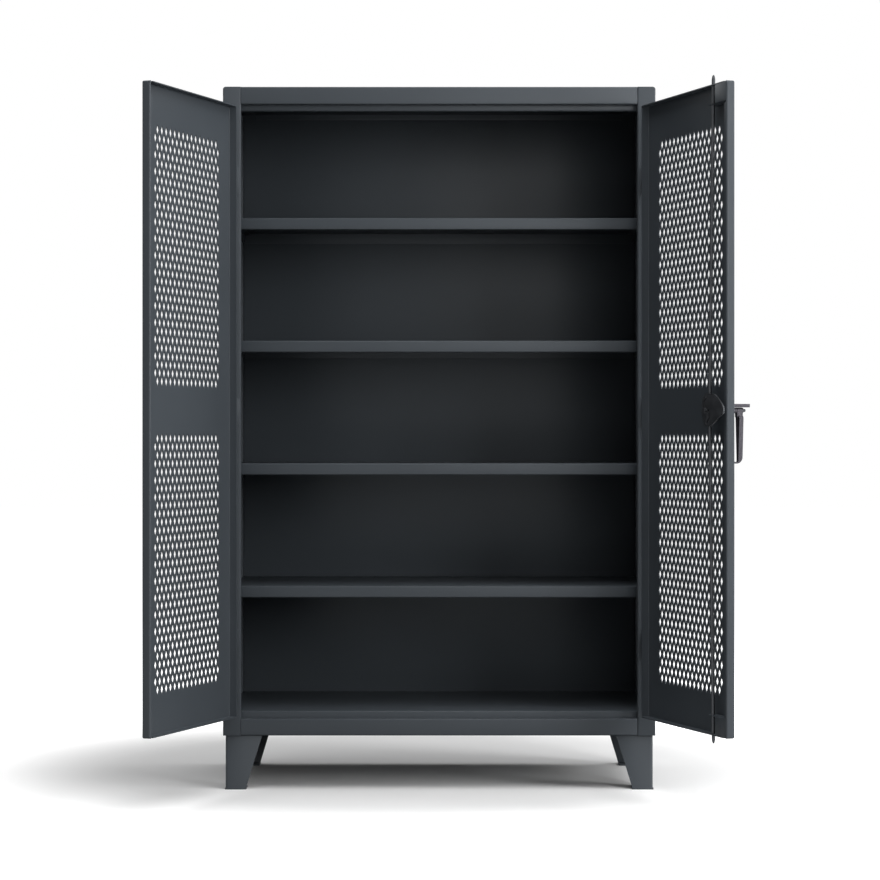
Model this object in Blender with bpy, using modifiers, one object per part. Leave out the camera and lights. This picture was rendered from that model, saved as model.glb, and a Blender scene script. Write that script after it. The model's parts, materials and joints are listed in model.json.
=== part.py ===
"""Welded steel storage cabinet with two ventilated doors and a three-point lock.

The cabinet is drawn with its doors closed, in metres: X to the right, Y to the back, Z up, the
front face of the frame at Y = 0 and the floor at Z = 0.  Each door then turns about its hinge
pins to the open angle, and the whole model moves so that the middle of its footprint is the
origin.  Run it with: blender --background --python part.py
"""
import math

import bmesh
import bpy
from mathutils import Matrix, Vector

# Overall body
BODY_WIDTH = 1.2192
BODY_DEPTH = 0.6096
TOTAL_HEIGHT = 1.9812
LEG_HEIGHT = 0.1524
SHEET = 0.00266
BEND_RADIUS = 0.004
TOP_CORNER_RADIUS = 0.008
SEAT_GAP = 0.0003
CUT_OVERRUN = 0.002
WELD_DISTANCE = 0.00005

# Welded frame round the door opening
FLANGE_WIDTH = 0.0508
SIDE_RETURN_DEPTH = 0.019
HEADER_HEIGHT = 0.0495
HEADER_TOP_FOLD = 0.026
RAIL_HEIGHT = 0.0476
EDGE_FOLD = 0.025
TOP_PANEL_FOLD = 0.020
STOP_DROP = 0.0164
STOP_HEIGHT = 0.040
STOP_FOLD = 0.015
STOP_SIDE_OVERLAP = 0.010
FLOOR_STEP = 0.0197
FLOOR_FOLD_RISE = 0.008

# Legs
LEG_PLATE = 0.00476
LEG_BEND_RADIUS = 0.007
LEG_INSET = 0.010
LEG_TOP_WIDTH = 0.100
LEG_FOOT_WIDTH = 0.054
FOOT_PLATE = 0.006
FOOT_PROUD = 0.005

# Slotted uprights and shelves
UPRIGHT_SHEET = 0.002
UPRIGHT_DEPTH = 0.0110
UPRIGHT_WIDTH = 0.032
UPRIGHT_BEND_RADIUS = 0.003
UPRIGHT_FRONT_SETBACK = 0.078
UPRIGHT_BACK_SETBACK = 0.008
SLOT_WIDTH = 0.006
SLOT_HEIGHT = 0.022
SLOTS_PER_SHELF_STEP = 3
SHELF_COUNT = 4
SHELF_STEP = 0.3487
SHELF_RISE = 0.0021
SHELF_EDGE = 0.033
SHELF_LIP = 0.012
SHELF_SETBACK = 0.063
SHELF_BACK_GAP = 0.003
SHELF_SIDE_GAP = 0.0032
BRACKET_SHEET = 0.002
BRACKET_BEND_RADIUS = 0.003
BRACKET_HEIGHT = 0.027
BRACKET_LEDGE = 0.022
BRACKET_END_GAP = 0.002
HOOK_CLEARANCE = 0.0005
HOOK_REACH = 0.0010

# Doors
DOOR_DEPTH = 0.024
HINGE_SIDE_GAP = 0.0025
MEETING_GAP = 0.003
DOOR_TOP_GAP = 0.0102
DOOR_BOTTOM_GAP = 0.0080
LIP_WIDTH = 0.015
LIP_BEND_RADIUS = 0.005
LIP_TOP_NOTCH = 0.0399
LIP_BOTTOM_NOTCH = 0.0244
LEFT_OPEN_ANGLE = math.radians(109.4)
RIGHT_OPEN_ANGLE = math.radians(109)

# Diamond ventilation openings, two fields in each door
FIELD_WIDTH = 0.422
FIELD_HEIGHT = 0.686
FIELD_GAP = 0.129
DIAMOND_ROWS = 13
DIAMONDS_IN_SHORT_ROW = 6
DIAMOND_WIDTH_SHARE = 0.86
DIAMOND_HEIGHT_SHARE = 1.02

# Hinges
HINGE_HEIGHT_SHARES = (0.12, 0.5, 0.88)
PIN_INSET = 0.0229
PIN_STANDOFF = 0.0076
PIN_RADIUS = 0.0042
PIN_CLEARANCE = 0.0001
PIN_HEAD_RADIUS = 0.0062
PIN_HEAD_HEIGHT = 0.003
KNUCKLE_RADIUS = 0.0071
KNUCKLE_GAP = 0.0005
HINGE_HEIGHT = 0.0762
LEAF_THICKNESS = 0.003
LEAF_CLEARANCE = 0.0008
FRAME_LEAF_MARGIN = 0.003
DOOR_LEAF_WIDTH = 0.030
LEAF_JOG_WIDTH = 0.004

# Three-point lock
LOCK_HEIGHT = 1.0635
LOCK_INSET = 0.0975
SPINDLE_RADIUS = 0.0046
SPINDLE_CLEARANCE = 0.0002
SPINDLE_HEAD_RADIUS = 0.0040
SPINDLE_HEAD_LENGTH = 0.0081
SPINDLE_FLANGE_RADIUS = 0.0074
SPINDLE_FLANGE_LENGTH = 0.0025
BOSS_RADIUS = 0.0078
BASE_THICKNESS = 0.003
BASE_WIDTH = 0.036
BASE_DROP = 0.040
COLLAR_RADIUS = 0.011
COLLAR_END = 0.0195
ROD_RADIUS = 0.00476
ROD_CLEARANCE = 0.0007
ROD_STRIKE_CLEARANCE = 0.0017
ROD_DEPTH_AT_TIP = 0.0159
ROD_DEPTH_AT_CAM = 0.0268
ROD_END_HEIGHT = 0.0285
UPPER_ROD_REACH = 0.030
LOWER_ROD_REACH = 0.026
ROD_POINT_LENGTH = 0.022
ROD_POINT_RADIUS = 0.0010
FOLLOWER_HEIGHT = 0.034
FOLLOWER_RADIUS = 0.003
FOLLOWER_OVERRUN = 0.0015
ROD_TRAVEL = 0.022
CAM_DEPTH = 0.0335
CAM_THICKNESS = 0.004
CAM_REACH = 0.109
CAM_WALL = 0.005
CAM_CORNER_RADIUS = 0.008
SLOT_CLEARANCE = 0.0003
NUT_RADIUS = 0.0085
NUT_HEIGHT = 0.006
GUIDE_HEIGHT = 0.054
GUIDE_OVERHANG = 0.014
GUIDE_ROD_GAP = 0.0015

# Pull handle and padlock hasp
GRIP_STANDOFF = 0.0535
GRIP_THICKNESS = 0.0120
GRIP_LENGTH = 0.1405
GRIP_WIDTH = 0.0245
GRIP_TIP_WIDTH = 0.0105
GRIP_NECK_LENGTH = 0.015
GRIP_FLARE_LENGTH = 0.013
CURL_HEIGHT = 0.017
CURL_THICKNESS = 0.004
CURL_REACH = 0.016
HANDLE_EDGE_RADIUS = 0.0011
HASP_RISE = 0.0084
HASP_THICKNESS = 0.0090
HASP_WIDTH = 0.0254
HASP_REACH = 0.0882
HASP_EYE_RADIUS = 0.0052
HASP_EYE_SETBACK = 0.0100

# Facets on round stretches
BEND_STEPS = 3
ROUND_SIDES = 12
SMALL_ROUND_SIDES = 10
HINGE_SIDES = 8
CORNER_STEPS = 5
SLOT_STEPS = 6

# Sizes that follow from the ones above
HALF_WIDTH = BODY_WIDTH / 2
OPENING_HALF_WIDTH = HALF_WIDTH - FLANGE_WIDTH
OPENING_TOP = TOTAL_HEIGHT - HEADER_HEIGHT
OPENING_BOTTOM = LEG_HEIGHT + RAIL_HEIGHT
STOP_FACE = DOOR_DEPTH + SEAT_GAP
FLOOR_TOP = OPENING_BOTTOM + FLOOR_STEP
INSIDE_BACK = BODY_DEPTH - SHEET
INSIDE_HALF_WIDTH = HALF_WIDTH - SHEET
UPRIGHT_FACE = INSIDE_HALF_WIDTH - SEAT_GAP - UPRIGHT_DEPTH
SHELF_HALF_WIDTH = UPRIGHT_FACE - SHELF_SIDE_GAP
SHELF_BACK = INSIDE_BACK - SHELF_BACK_GAP
DOOR_HINGE_EDGE = OPENING_HALF_WIDTH - HINGE_SIDE_GAP
DOOR_FREE_EDGE = MEETING_GAP / 2
DOOR_TOP = OPENING_TOP - DOOR_TOP_GAP
DOOR_BOTTOM = OPENING_BOTTOM + DOOR_BOTTOM_GAP
PIN_X = HALF_WIDTH - PIN_INSET
LOCK_X = DOOR_FREE_EDGE + LOCK_INSET
UPPER_TIP = DOOR_TOP + UPPER_ROD_REACH
LOWER_TIP = DOOR_BOTTOM - LOWER_ROD_REACH
SLOT_PITCH = SHELF_STEP / SLOTS_PER_SHELF_STEP
GRIP_FACE = GRIP_STANDOFF + GRIP_THICKNESS

# Colours in linear light, with metallic and roughness values
PAINT = ("blue_grey_paint", (0.062, 0.070, 0.076), 0.0, 0.42)
ZINC = ("zinc_plated_steel", (0.36, 0.36, 0.38), 0.9, 0.38)
CAST = ("cast_grey_metal", (0.16, 0.16, 0.17), 0.7, 0.42)

# Planes to draw in, as matrices that take (across, up, along) to (X, Y, Z)
PLAN = Matrix.Identity(4)
SIDE = Matrix(((0, 0, 1, 0), (1, 0, 0, 0), (0, 1, 0, 0), (0, 0, 0, 1)))
FRONT = Matrix(((1, 0, 0, 0), (0, 0, -1, 0), (0, 1, 0, 0), (0, 0, 0, 1)))
LEFT_OF_PATH = -1
RIGHT_OF_PATH = 1


def clear_scene():
    """Remove whatever the scene holds."""
    for obj in list(bpy.data.objects):
        bpy.data.objects.remove(obj, do_unlink=True)


def make_material(name, colour, metallic, roughness):
    """Return a Principled material of one colour."""
    material = bpy.data.materials.new(name)
    material.use_nodes = True
    shader = material.node_tree.nodes["Principled BSDF"]
    shader.inputs["Base Color"].default_value = (*colour, 1)
    shader.inputs["Metallic"].default_value = metallic
    shader.inputs["Roughness"].default_value = roughness
    return material


def make_object(name, mesh):
    """Put a mesh in the scene as an object."""
    obj = bpy.data.objects.new(name, mesh)
    bpy.context.scene.collection.objects.link(obj)
    return obj


def remove_object(obj):
    """Take an object that was only a tool out of the file."""
    bpy.data.objects.remove(obj, do_unlink=True)


def bake(obj):
    """Replace an object's mesh by what its modifiers make of it."""
    depsgraph = bpy.context.evaluated_depsgraph_get()
    mesh = bpy.data.meshes.new_from_object(obj.evaluated_get(depsgraph))
    obj.modifiers.clear()
    obj.data = mesh


def combine(target, tool, operation):
    """Join a solid to the target, or cut it out of it, and remove the tool."""
    modifier = target.modifiers.new(operation.title(), "BOOLEAN")
    modifier.operation = operation
    modifier.solver = "EXACT"
    modifier.object = tool
    bake(target)
    remove_object(tool)
    bm = bmesh.new()
    bm.from_mesh(target.data)
    bmesh.ops.remove_doubles(bm, verts=bm.verts, dist=WELD_DISTANCE)
    bmesh.ops.dissolve_degenerate(bm, edges=bm.edges, dist=WELD_DISTANCE)
    bm.to_mesh(target.data)
    bm.free()


def join(target, *tools):
    """Weld solids onto the target."""
    for tool in tools:
        combine(target, tool, "UNION")
    return target


def cut(target, *tools):
    """Cut solids out of the target."""
    for tool in tools:
        combine(target, tool, "DIFFERENCE")
    return target


def finish_mesh(name, bm):
    """Turn a bmesh into an object."""
    mesh = bpy.data.meshes.new(name)
    bm.to_mesh(mesh)
    bm.free()
    return make_object(name, mesh)


def blocks(name, spans):
    """Return one object of boxes, each given by its low and high corners."""
    bm = bmesh.new()
    for low, high in spans:
        low, high = Vector(low), Vector(high)
        size = Matrix.Diagonal((*(high - low), 1))
        place = Matrix.Translation((low + high) / 2)
        bmesh.ops.create_cube(bm, size=1, matrix=place @ size)
    return finish_mesh(name, bm)


def block(name, low, high):
    """Return a box between two corners."""
    return blocks(name, [(low, high)])


def cylinder(name, start, end, radius, sides=ROUND_SIDES):
    """Return a solid cylinder between two points."""
    start, end = Vector(start), Vector(end)
    axis = end - start
    turn = axis.to_track_quat("Z", "Y").to_matrix().to_4x4()
    bm = bmesh.new()
    bmesh.ops.create_cone(bm, cap_ends=True, segments=sides, radius1=radius, radius2=radius,
                          depth=axis.length, matrix=Matrix.Translation((start + end) / 2) @ turn)
    return finish_mesh(name, bm)


def turned(name, profile, start, direction, sides=ROUND_SIDES):
    """Return a turned solid: (radius, distance) pairs run down from the far end to the start."""
    bm = bmesh.new()
    points = [bm.verts.new((radius, 0, distance)) for radius, distance in profile]
    for pair in zip(points, points[1:]):
        bm.edges.new(pair)
    obj = finish_mesh(name, bm)
    screw = obj.modifiers.new("Turn", "SCREW")
    screw.steps = screw.render_steps = sides
    screw.use_merge_vertices = True
    screw.merge_threshold = WELD_DISTANCE
    screw.use_smooth_shade = False
    bake(obj)
    turn = Vector(direction).to_track_quat("Z", "Y").to_matrix().to_4x4()
    obj.data.transform(Matrix.Translation(start) @ turn)
    return obj


def arc_points(centre, start, sweep, steps):
    """Return points on an arc that starts at a point and turns about a centre."""
    centre, spoke = Vector(centre), Vector(start) - Vector(centre)
    return [centre + Matrix.Rotation(sweep * step / steps, 2) @ spoke for step in range(steps + 1)]


def filleted(corners, radii, closed=False, steps=BEND_STEPS):
    """Return a path through the corners with an arc of the given radius at each one."""
    corners = [Vector(corner) for corner in corners]
    count = len(corners)
    if not hasattr(radii, "__len__"):
        radii = [radii] * count
    path = []
    for index, (corner, radius) in enumerate(zip(corners, radii)):
        is_end = not closed and index in (0, count - 1)
        if is_end or radius == 0:
            path.append(corner)
            continue
        before = (corners[index - 1] - corner).normalized()
        after = (corners[(index + 1) % count] - corner).normalized()
        half_angle = before.angle(after) / 2
        start = corner + before * (radius / math.tan(half_angle))
        centre = corner + (before + after).normalized() * (radius / math.sin(half_angle))
        turn = math.copysign(math.pi - 2 * half_angle, before.cross(after))
        path.extend(arc_points(centre, start, -turn, steps))
    return path


def folded_sheet(name, path, span, plane, material_side, thickness=SHEET):
    """Return a folded sheet: a path swept along its plane's normal, thickened to one side."""
    first, last = span
    bm = bmesh.new()
    points = [bm.verts.new(plane @ Vector((across, up, first))) for across, up in path]
    edges = [bm.edges.new(pair) for pair in zip(points, points[1:])]
    swept = bmesh.ops.extrude_edge_only(bm, edges=edges)["geom"]
    moved = [item for item in swept if isinstance(item, bmesh.types.BMVert)]
    bmesh.ops.translate(bm, verts=moved, vec=plane.to_3x3() @ Vector((0, 0, last - first)))
    bm.normal_update()
    bm.faces.ensure_lookup_table()
    step = Vector(path[1]) - Vector(path[0])
    right_side = plane.to_3x3() @ Vector((step.y, -step.x, 0))
    lead_face = min(bm.faces, key=lambda face: (face.calc_center_median() - points[0].co).length)
    if lead_face.normal.dot(right_side) < 0:
        bmesh.ops.reverse_faces(bm, faces=bm.faces)
    obj = finish_mesh(name, bm)
    solidify = obj.modifiers.new("Thickness", "SOLIDIFY")
    solidify.thickness = thickness
    solidify.offset = material_side
    solidify.use_even_offset = True
    bake(obj)
    return obj


def plate(name, outlines, span, plane):
    """Return a flat plate with the first outline as its edge and the others as holes in it."""
    first, last = span
    curve = bpy.data.curves.new(name, "CURVE")
    curve.dimensions = "2D"
    curve.fill_mode = "BOTH"
    curve.extrude = abs(last - first) / 2
    curve.resolution_u = 1
    curve.render_resolution_u = 0
    for outline in outlines:
        spline = curve.splines.new("POLY")
        spline.points.add(len(outline) - 1)
        for point, (across, up) in zip(spline.points, outline):
            point.co = (across, up, 0, 1)
        spline.use_cyclic_u = True
    drawing = make_object(name + "_drawing", curve)
    depsgraph = bpy.context.evaluated_depsgraph_get()
    mesh = bpy.data.meshes.new_from_object(drawing.evaluated_get(depsgraph))
    remove_object(drawing)
    bm = bmesh.new()
    bm.from_mesh(mesh)
    bmesh.ops.remove_doubles(bm, verts=bm.verts, dist=WELD_DISTANCE)
    bmesh.ops.transform(bm, verts=bm.verts,
                        matrix=plane @ Matrix.Translation((0, 0, (first + last) / 2)))
    bmesh.ops.recalc_face_normals(bm, faces=bm.faces)
    return finish_mesh(name, bm)


def circle(centre, radius, sides=ROUND_SIDES):
    """Return the corners of a round outline."""
    centre = Vector(centre)
    start = centre + Vector((radius, 0))
    return arc_points(centre, start, math.tau, sides)[:-1]


def rectangle(low, high):
    """Return the corners of a rectangle."""
    return [(low[0], low[1]), (high[0], low[1]), (high[0], high[1]), (low[0], high[1])]


def mirrored(obj, name, axis=0, about=0.0):
    """Return a mirror copy of an object across a plane square to an axis."""
    scale = Vector((1, 1, 1))
    scale[axis] = -1
    shift = Vector((0, 0, 0))
    shift[axis] = 2 * about
    copy = obj.copy()
    copy.data = obj.data.copy()
    copy.name = name
    copy.data.transform(Matrix.Translation(shift) @ Matrix.Diagonal((*scale, 1)))
    copy.data.flip_normals()
    bpy.context.scene.collection.objects.link(copy)
    return copy


class Assembly:
    """Collects the pieces, gives each its material and hangs it on its pivot."""

    def __init__(self, name):
        self.collection = bpy.data.collections.new(name)
        bpy.context.scene.collection.children.link(self.collection)
        self.materials = {look[0]: make_material(*look) for look in (PAINT, ZINC, CAST)}
        self.root = self.pivot(name + "_root", Vector((0, 0, 0)), None)

    def pivot(self, name, point, parent, parent_point=Vector((0, 0, 0))):
        """Return an empty at a point of the closed cabinet, under its parent."""
        empty = bpy.data.objects.new(name, None)
        empty.parent = parent
        empty.location = Vector(point) - parent_point
        empty.empty_display_size = PIN_STANDOFF
        self.collection.objects.link(empty)
        return empty

    def add(self, obj, look, parent=None, origin=None):
        """Take a piece drawn in the closed cabinet, and place it under its parent.

        With no origin the piece's own centre becomes its origin.  With one, that point is the
        place of the parent, and becomes the piece's origin.
        """
        for old in obj.users_collection:
            old.objects.unlink(obj)
        self.collection.objects.link(obj)
        obj.data.materials.clear()
        obj.data.materials.append(self.materials[look[0]])
        for face in obj.data.polygons:
            face.material_index = 0
        if origin is None:
            corners = [Vector(corner) for corner in obj.bound_box]
            centre = sum(corners, Vector()) / len(corners)
            obj.data.transform(Matrix.Translation(-centre))
            obj.location = centre
        else:
            obj.data.transform(Matrix.Translation(-Vector(origin)))
        obj.parent = parent or self.root
        obj.data.shade_smooth()
        obj.data.set_sharp_from_angle(angle=math.radians(35))
        return obj

    def stand_on_origin(self):
        """Move the root so that the footprint's centre is the origin and the feet are at zero."""
        bpy.context.view_layer.update()
        corners = [obj.matrix_world @ vertex.co for obj in self.collection.objects
                   if obj.type == "MESH" for vertex in obj.data.vertices]
        low = Vector(min(corner[axis] for corner in corners) for axis in range(3))
        high = Vector(max(corner[axis] for corner in corners) for axis in range(3))
        self.root.location = -Vector(((low.x + high.x) / 2, (low.y + high.y) / 2, low.z))


def side_panel():
    """Left side: folded front flange with a return, and folds along its top and bottom."""
    inner = -OPENING_HALF_WIDTH
    path = filleted([(inner, SIDE_RETURN_DEPTH), (inner, 0), (-HALF_WIDTH, 0),
                     (-HALF_WIDTH, INSIDE_BACK - SEAT_GAP)], BEND_RADIUS)
    panel = folded_sheet("left_side_panel", path, (LEG_HEIGHT, TOTAL_HEIGHT), PLAN, RIGHT_OF_PATH)
    half = SHEET / 2
    left, top = -HALF_WIDTH, TOTAL_HEIGHT
    low = top - TOP_CORNER_RADIUS
    outline = arc_points((left + TOP_CORNER_RADIUS, low), (left + SEAT_GAP, low), -math.pi / 2,
                         CORNER_STEPS)
    outline += [(left + TOP_CORNER_RADIUS, top + CUT_OVERRUN),
                (left - CUT_OVERRUN, top + CUT_OVERRUN), (left - CUT_OVERRUN, low)]
    cut(panel, plate("round", [outline], (CUT_OVERRUN, -BODY_DEPTH), FRONT))
    back = INSIDE_BACK - 2 * SEAT_GAP
    inset = 2 * SEAT_GAP
    top_path = arc_points((left + TOP_CORNER_RADIUS, low), (left + inset, low), -math.pi / 2,
                          CORNER_STEPS)
    top_path.append((inner - inset, top - inset))
    return join(panel,
                folded_sheet("top_fold", top_path, (-back, -half), FRONT, RIGHT_OF_PATH),
                block("bottom_fold", (left + half, half, LEG_HEIGHT + SEAT_GAP),
                      (left + EDGE_FOLD, back, LEG_HEIGHT + SHEET)))


def back_panel():
    """Flat back sheet with the body's rounded top corners."""
    corners = rectangle((-HALF_WIDTH, LEG_HEIGHT), (HALF_WIDTH, TOTAL_HEIGHT))
    radii = (0, 0, TOP_CORNER_RADIUS, TOP_CORNER_RADIUS)
    outline = filleted(corners, radii, closed=True, steps=CORNER_STEPS)
    return plate("back_panel", [outline], (-INSIDE_BACK, -BODY_DEPTH), FRONT)


def top_panel():
    """Roof sheet between the side panels' folds, with its front and back edges turned down."""
    front = HEADER_TOP_FOLD + SEAT_GAP
    back = INSIDE_BACK - SEAT_GAP
    low = TOTAL_HEIGHT - TOP_PANEL_FOLD
    path = filleted([(front, low), (front, TOTAL_HEIGHT), (back, TOTAL_HEIGHT), (back, low)],
                    BEND_RADIUS)
    half = OPENING_HALF_WIDTH - SEAT_GAP
    return folded_sheet("top_panel", path, (-half, half), SIDE, RIGHT_OF_PATH)


def rod_depth(height):
    """Return how far behind the door's face a lock rod's axis lies at a height."""
    if height > LOCK_HEIGHT:
        tip, end = UPPER_TIP, LOCK_HEIGHT + ROD_END_HEIGHT
    else:
        tip, end = LOWER_TIP, LOCK_HEIGHT - ROD_END_HEIGHT
    share = (height - tip) / (end - tip)
    return ROD_DEPTH_AT_TIP + (ROD_DEPTH_AT_CAM - ROD_DEPTH_AT_TIP) * share


def rod_hole(height, clearance):
    """Return a cutter, with flats to the left and right, for a lock rod's hole at a height."""
    place = Vector((LOCK_X, rod_depth(height), height))
    reach = Vector((0, 0, SHEET + CUT_OVERRUN))
    hole = cylinder("rod_hole", place - reach, place + reach, ROD_RADIUS + clearance)
    turn = Matrix.Rotation(math.pi / ROUND_SIDES, 4, "Z")
    hole.data.transform(Matrix.Translation(place) @ turn @ Matrix.Translation(-place))
    return hole


def header_rail():
    """Channel over the doors, with the upper rod's strike hole in its lower fold."""
    path = filleted([(DOOR_DEPTH, OPENING_TOP), (0, OPENING_TOP), (0, TOTAL_HEIGHT),
                     (HEADER_TOP_FOLD, TOTAL_HEIGHT)], BEND_RADIUS)
    half = OPENING_HALF_WIDTH - SEAT_GAP
    rail = folded_sheet("header_rail", path, (-half, half), SIDE, RIGHT_OF_PATH)
    return cut(rail, rod_hole(OPENING_TOP, ROD_STRIKE_CLEARANCE))


def bottom_rail():
    """Channel under the doors, with the lower rod's strike hole in its upper fold."""
    path = filleted([(DOOR_DEPTH, OPENING_BOTTOM), (0, OPENING_BOTTOM), (0, LEG_HEIGHT),
                     (DOOR_DEPTH, LEG_HEIGHT)], BEND_RADIUS)
    half = OPENING_HALF_WIDTH - SEAT_GAP
    rail = folded_sheet("bottom_rail", path, (-half, half), SIDE, LEFT_OF_PATH)
    return cut(rail, rod_hole(OPENING_BOTTOM, ROD_STRIKE_CLEARANCE))


def top_door_stop():
    """Angle behind the header that the doors' top flanges close against."""
    low = OPENING_TOP - STOP_DROP
    path = filleted([(STOP_FACE, low + STOP_HEIGHT), (STOP_FACE, low),
                     (STOP_FACE + STOP_FOLD, low)], BEND_RADIUS)
    half = OPENING_HALF_WIDTH + STOP_SIDE_OVERLAP
    return folded_sheet("top_door_stop", path, (-half, half), SIDE, LEFT_OF_PATH)


def floor_pan():
    """Cabinet floor, turned down in front as the lower door stop and turned down behind."""
    back = INSIDE_BACK - SEAT_GAP
    low = LEG_HEIGHT + FLOOR_FOLD_RISE
    path = filleted([(STOP_FACE, low), (STOP_FACE, FLOOR_TOP), (back, FLOOR_TOP), (back, low)],
                    BEND_RADIUS)
    half = INSIDE_HALF_WIDTH - SEAT_GAP
    return folded_sheet("floor_pan", path, (-half, half), SIDE, RIGHT_OF_PATH)


def front_left_leg():
    """Leg folded from thick plate, tapered on both inner edges, with a top and a foot plate."""
    outer, front = -HALF_WIDTH + LEG_INSET, LEG_INSET
    top = LEG_HEIGHT - SEAT_GAP
    path = filleted([(outer + LEG_TOP_WIDTH, front), (outer, front),
                     (outer, front + LEG_TOP_WIDTH)], LEG_BEND_RADIUS)
    leg = folded_sheet("leg_front_left", path, (0, top), PLAN, RIGHT_OF_PATH, LEG_PLATE)

    def taper(edge):
        """Return the waste outline beside one slanted edge, from the leg's outer edge."""
        return [(edge + LEG_FOOT_WIDTH, 0), (edge + LEG_TOP_WIDTH, top),
                (edge + LEG_TOP_WIDTH + CUT_OVERRUN, top),
                (edge + LEG_TOP_WIDTH + CUT_OVERRUN, -CUT_OVERRUN),
                (edge + LEG_FOOT_WIDTH, -CUT_OVERRUN)]

    depth = LEG_PLATE + CUT_OVERRUN
    cut(leg,
        plate("front_taper", [taper(outer)], (-front + CUT_OVERRUN, -front - depth), FRONT),
        plate("side_taper", [taper(front)], (outer - CUT_OVERRUN, outer + depth), SIDE))
    inset = LEG_PLATE / 2
    cap = [(outer + inset, front + inset), (outer + LEG_TOP_WIDTH - inset, front + inset),
           (outer + inset, front + LEG_TOP_WIDTH - inset)]
    join(leg, plate("cap", [cap], (top - LEG_PLATE, top), PLAN))
    foot = block("foot", (outer - FOOT_PROUD, front - FOOT_PROUD, 0),
                 (outer + LEG_FOOT_WIDTH + FOOT_PROUD, front + LEG_FOOT_WIDTH + FOOT_PROUD,
                  FOOT_PLATE))
    return join(leg, foot)


def shelf_top(number):
    """Return the height of a shelf's top, counted from one at the bottom."""
    return FLOOR_TOP + SHELF_RISE + number * SHELF_STEP


def hook_height(number):
    """Return the height of the middle of the hooks that carry a shelf."""
    return shelf_top(number) - SHEET - SEAT_GAP - BRACKET_HEIGHT / 2


def upright(name, front):
    """Left slotted upright: a channel against the side panel."""
    wall = -INSIDE_HALF_WIDTH + SEAT_GAP
    path = filleted([(wall, front), (-UPRIGHT_FACE, front),
                     (-UPRIGHT_FACE, front + UPRIGHT_WIDTH), (wall, front + UPRIGHT_WIDTH)],
                    UPRIGHT_BEND_RADIUS)
    top = TOTAL_HEIGHT - TOP_CORNER_RADIUS - SHEET
    channel = folded_sheet(name, path, (FLOOR_TOP + SEAT_GAP, top), PLAN, LEFT_OF_PATH,
                           UPRIGHT_SHEET)
    middle = front + UPRIGHT_WIDTH / 2
    spans = []
    height = hook_height(1)
    while height - SLOT_PITCH > FLOOR_TOP + SLOT_HEIGHT:
        height -= SLOT_PITCH
    while height < top - SLOT_HEIGHT:
        spans.append(((-UPRIGHT_FACE - UPRIGHT_SHEET - CUT_OVERRUN, middle - SLOT_WIDTH / 2,
                       height - SLOT_HEIGHT / 2),
                      (-UPRIGHT_FACE + CUT_OVERRUN, middle + SLOT_WIDTH / 2,
                       height + SLOT_HEIGHT / 2)))
        height += SLOT_PITCH
    return cut(channel, blocks("slots", spans))


def upright_fronts():
    """Return the front edges of the front and the rear uprights."""
    return {"front": UPRIGHT_FRONT_SETBACK,
            "rear": INSIDE_BACK - UPRIGHT_BACK_SETBACK - UPRIGHT_WIDTH}


def shelf(number):
    """Folded shelf with a deep front edge, a return under it and a turned-down back."""
    top = shelf_top(number)
    low = top - SHELF_EDGE
    path = filleted([(SHELF_SETBACK + SHELF_LIP, low), (SHELF_SETBACK, low),
                     (SHELF_SETBACK, top), (SHELF_BACK, top), (SHELF_BACK, low)], BEND_RADIUS)
    return folded_sheet(f"shelf_{number}", path, (-SHELF_HALF_WIDTH, SHELF_HALF_WIDTH), SIDE,
                        RIGHT_OF_PATH)


def shelf_bracket(number):
    """Left angle under a shelf's end, with a hook through a slot of each upright."""
    top = shelf_top(number) - SHEET - SEAT_GAP
    face = -UPRIGHT_FACE + SEAT_GAP
    section = filleted([(face, top - BRACKET_HEIGHT), (face, top), (face + BRACKET_LEDGE, top)],
                       BRACKET_BEND_RADIUS)
    front = SHELF_SETBACK + SHELF_LIP + BRACKET_END_GAP
    back = SHELF_BACK - SHEET - BRACKET_END_GAP
    bracket = folded_sheet(f"shelf_bracket_{number}_left", section, (-front, -back), FRONT,
                           RIGHT_OF_PATH, BRACKET_SHEET)
    half_width = SLOT_WIDTH / 2 - HOOK_CLEARANCE
    half_height = SLOT_HEIGHT / 2 - HOOK_CLEARANCE
    middle_z = hook_height(number)
    for front_edge in upright_fronts().values():
        middle = front_edge + UPRIGHT_WIDTH / 2
        join(bracket, block("hook",
                            (-UPRIGHT_FACE - UPRIGHT_SHEET - HOOK_REACH, middle - half_width,
                             middle_z - half_height),
                            (face + BRACKET_SHEET / 2, middle + half_width,
                             middle_z + half_height)))
    return bracket


def hinge_heights():
    """Return the heights of a door's hinge centres."""
    return [DOOR_BOTTOM + (DOOR_TOP - DOOR_BOTTOM) * share for share in HINGE_HEIGHT_SHARES]


def knuckle_spans(middle):
    """Return the vertical spans of a hinge's three knuckles, lowest first."""
    low, third = middle - HINGE_HEIGHT / 2, HINGE_HEIGHT / 3
    inset = KNUCKLE_GAP / 2
    return [(low + third * step + inset, low + third * (step + 1) - inset) for step in range(3)]


def add_knuckles(leaf, spans, finger_low, finger_high):
    """Join knuckles and the fingers that carry them to a leaf, and bore them for the pin."""
    for low, high in spans:
        join(leaf, block("finger", (*finger_low, low), (*finger_high, high)),
             cylinder("knuckle", (-PIN_X, -PIN_STANDOFF, low), (-PIN_X, -PIN_STANDOFF, high),
                      KNUCKLE_RADIUS, HINGE_SIDES))
    ends = [span_end for span in spans for span_end in span]
    bore_radius = (PIN_RADIUS + PIN_CLEARANCE) / math.cos(math.pi / HINGE_SIDES)
    return cut(leaf, cylinder("bore", (-PIN_X, -PIN_STANDOFF, min(ends) - CUT_OVERRUN),
                              (-PIN_X, -PIN_STANDOFF, max(ends) + CUT_OVERRUN),
                              bore_radius, HINGE_SIDES))


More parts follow.
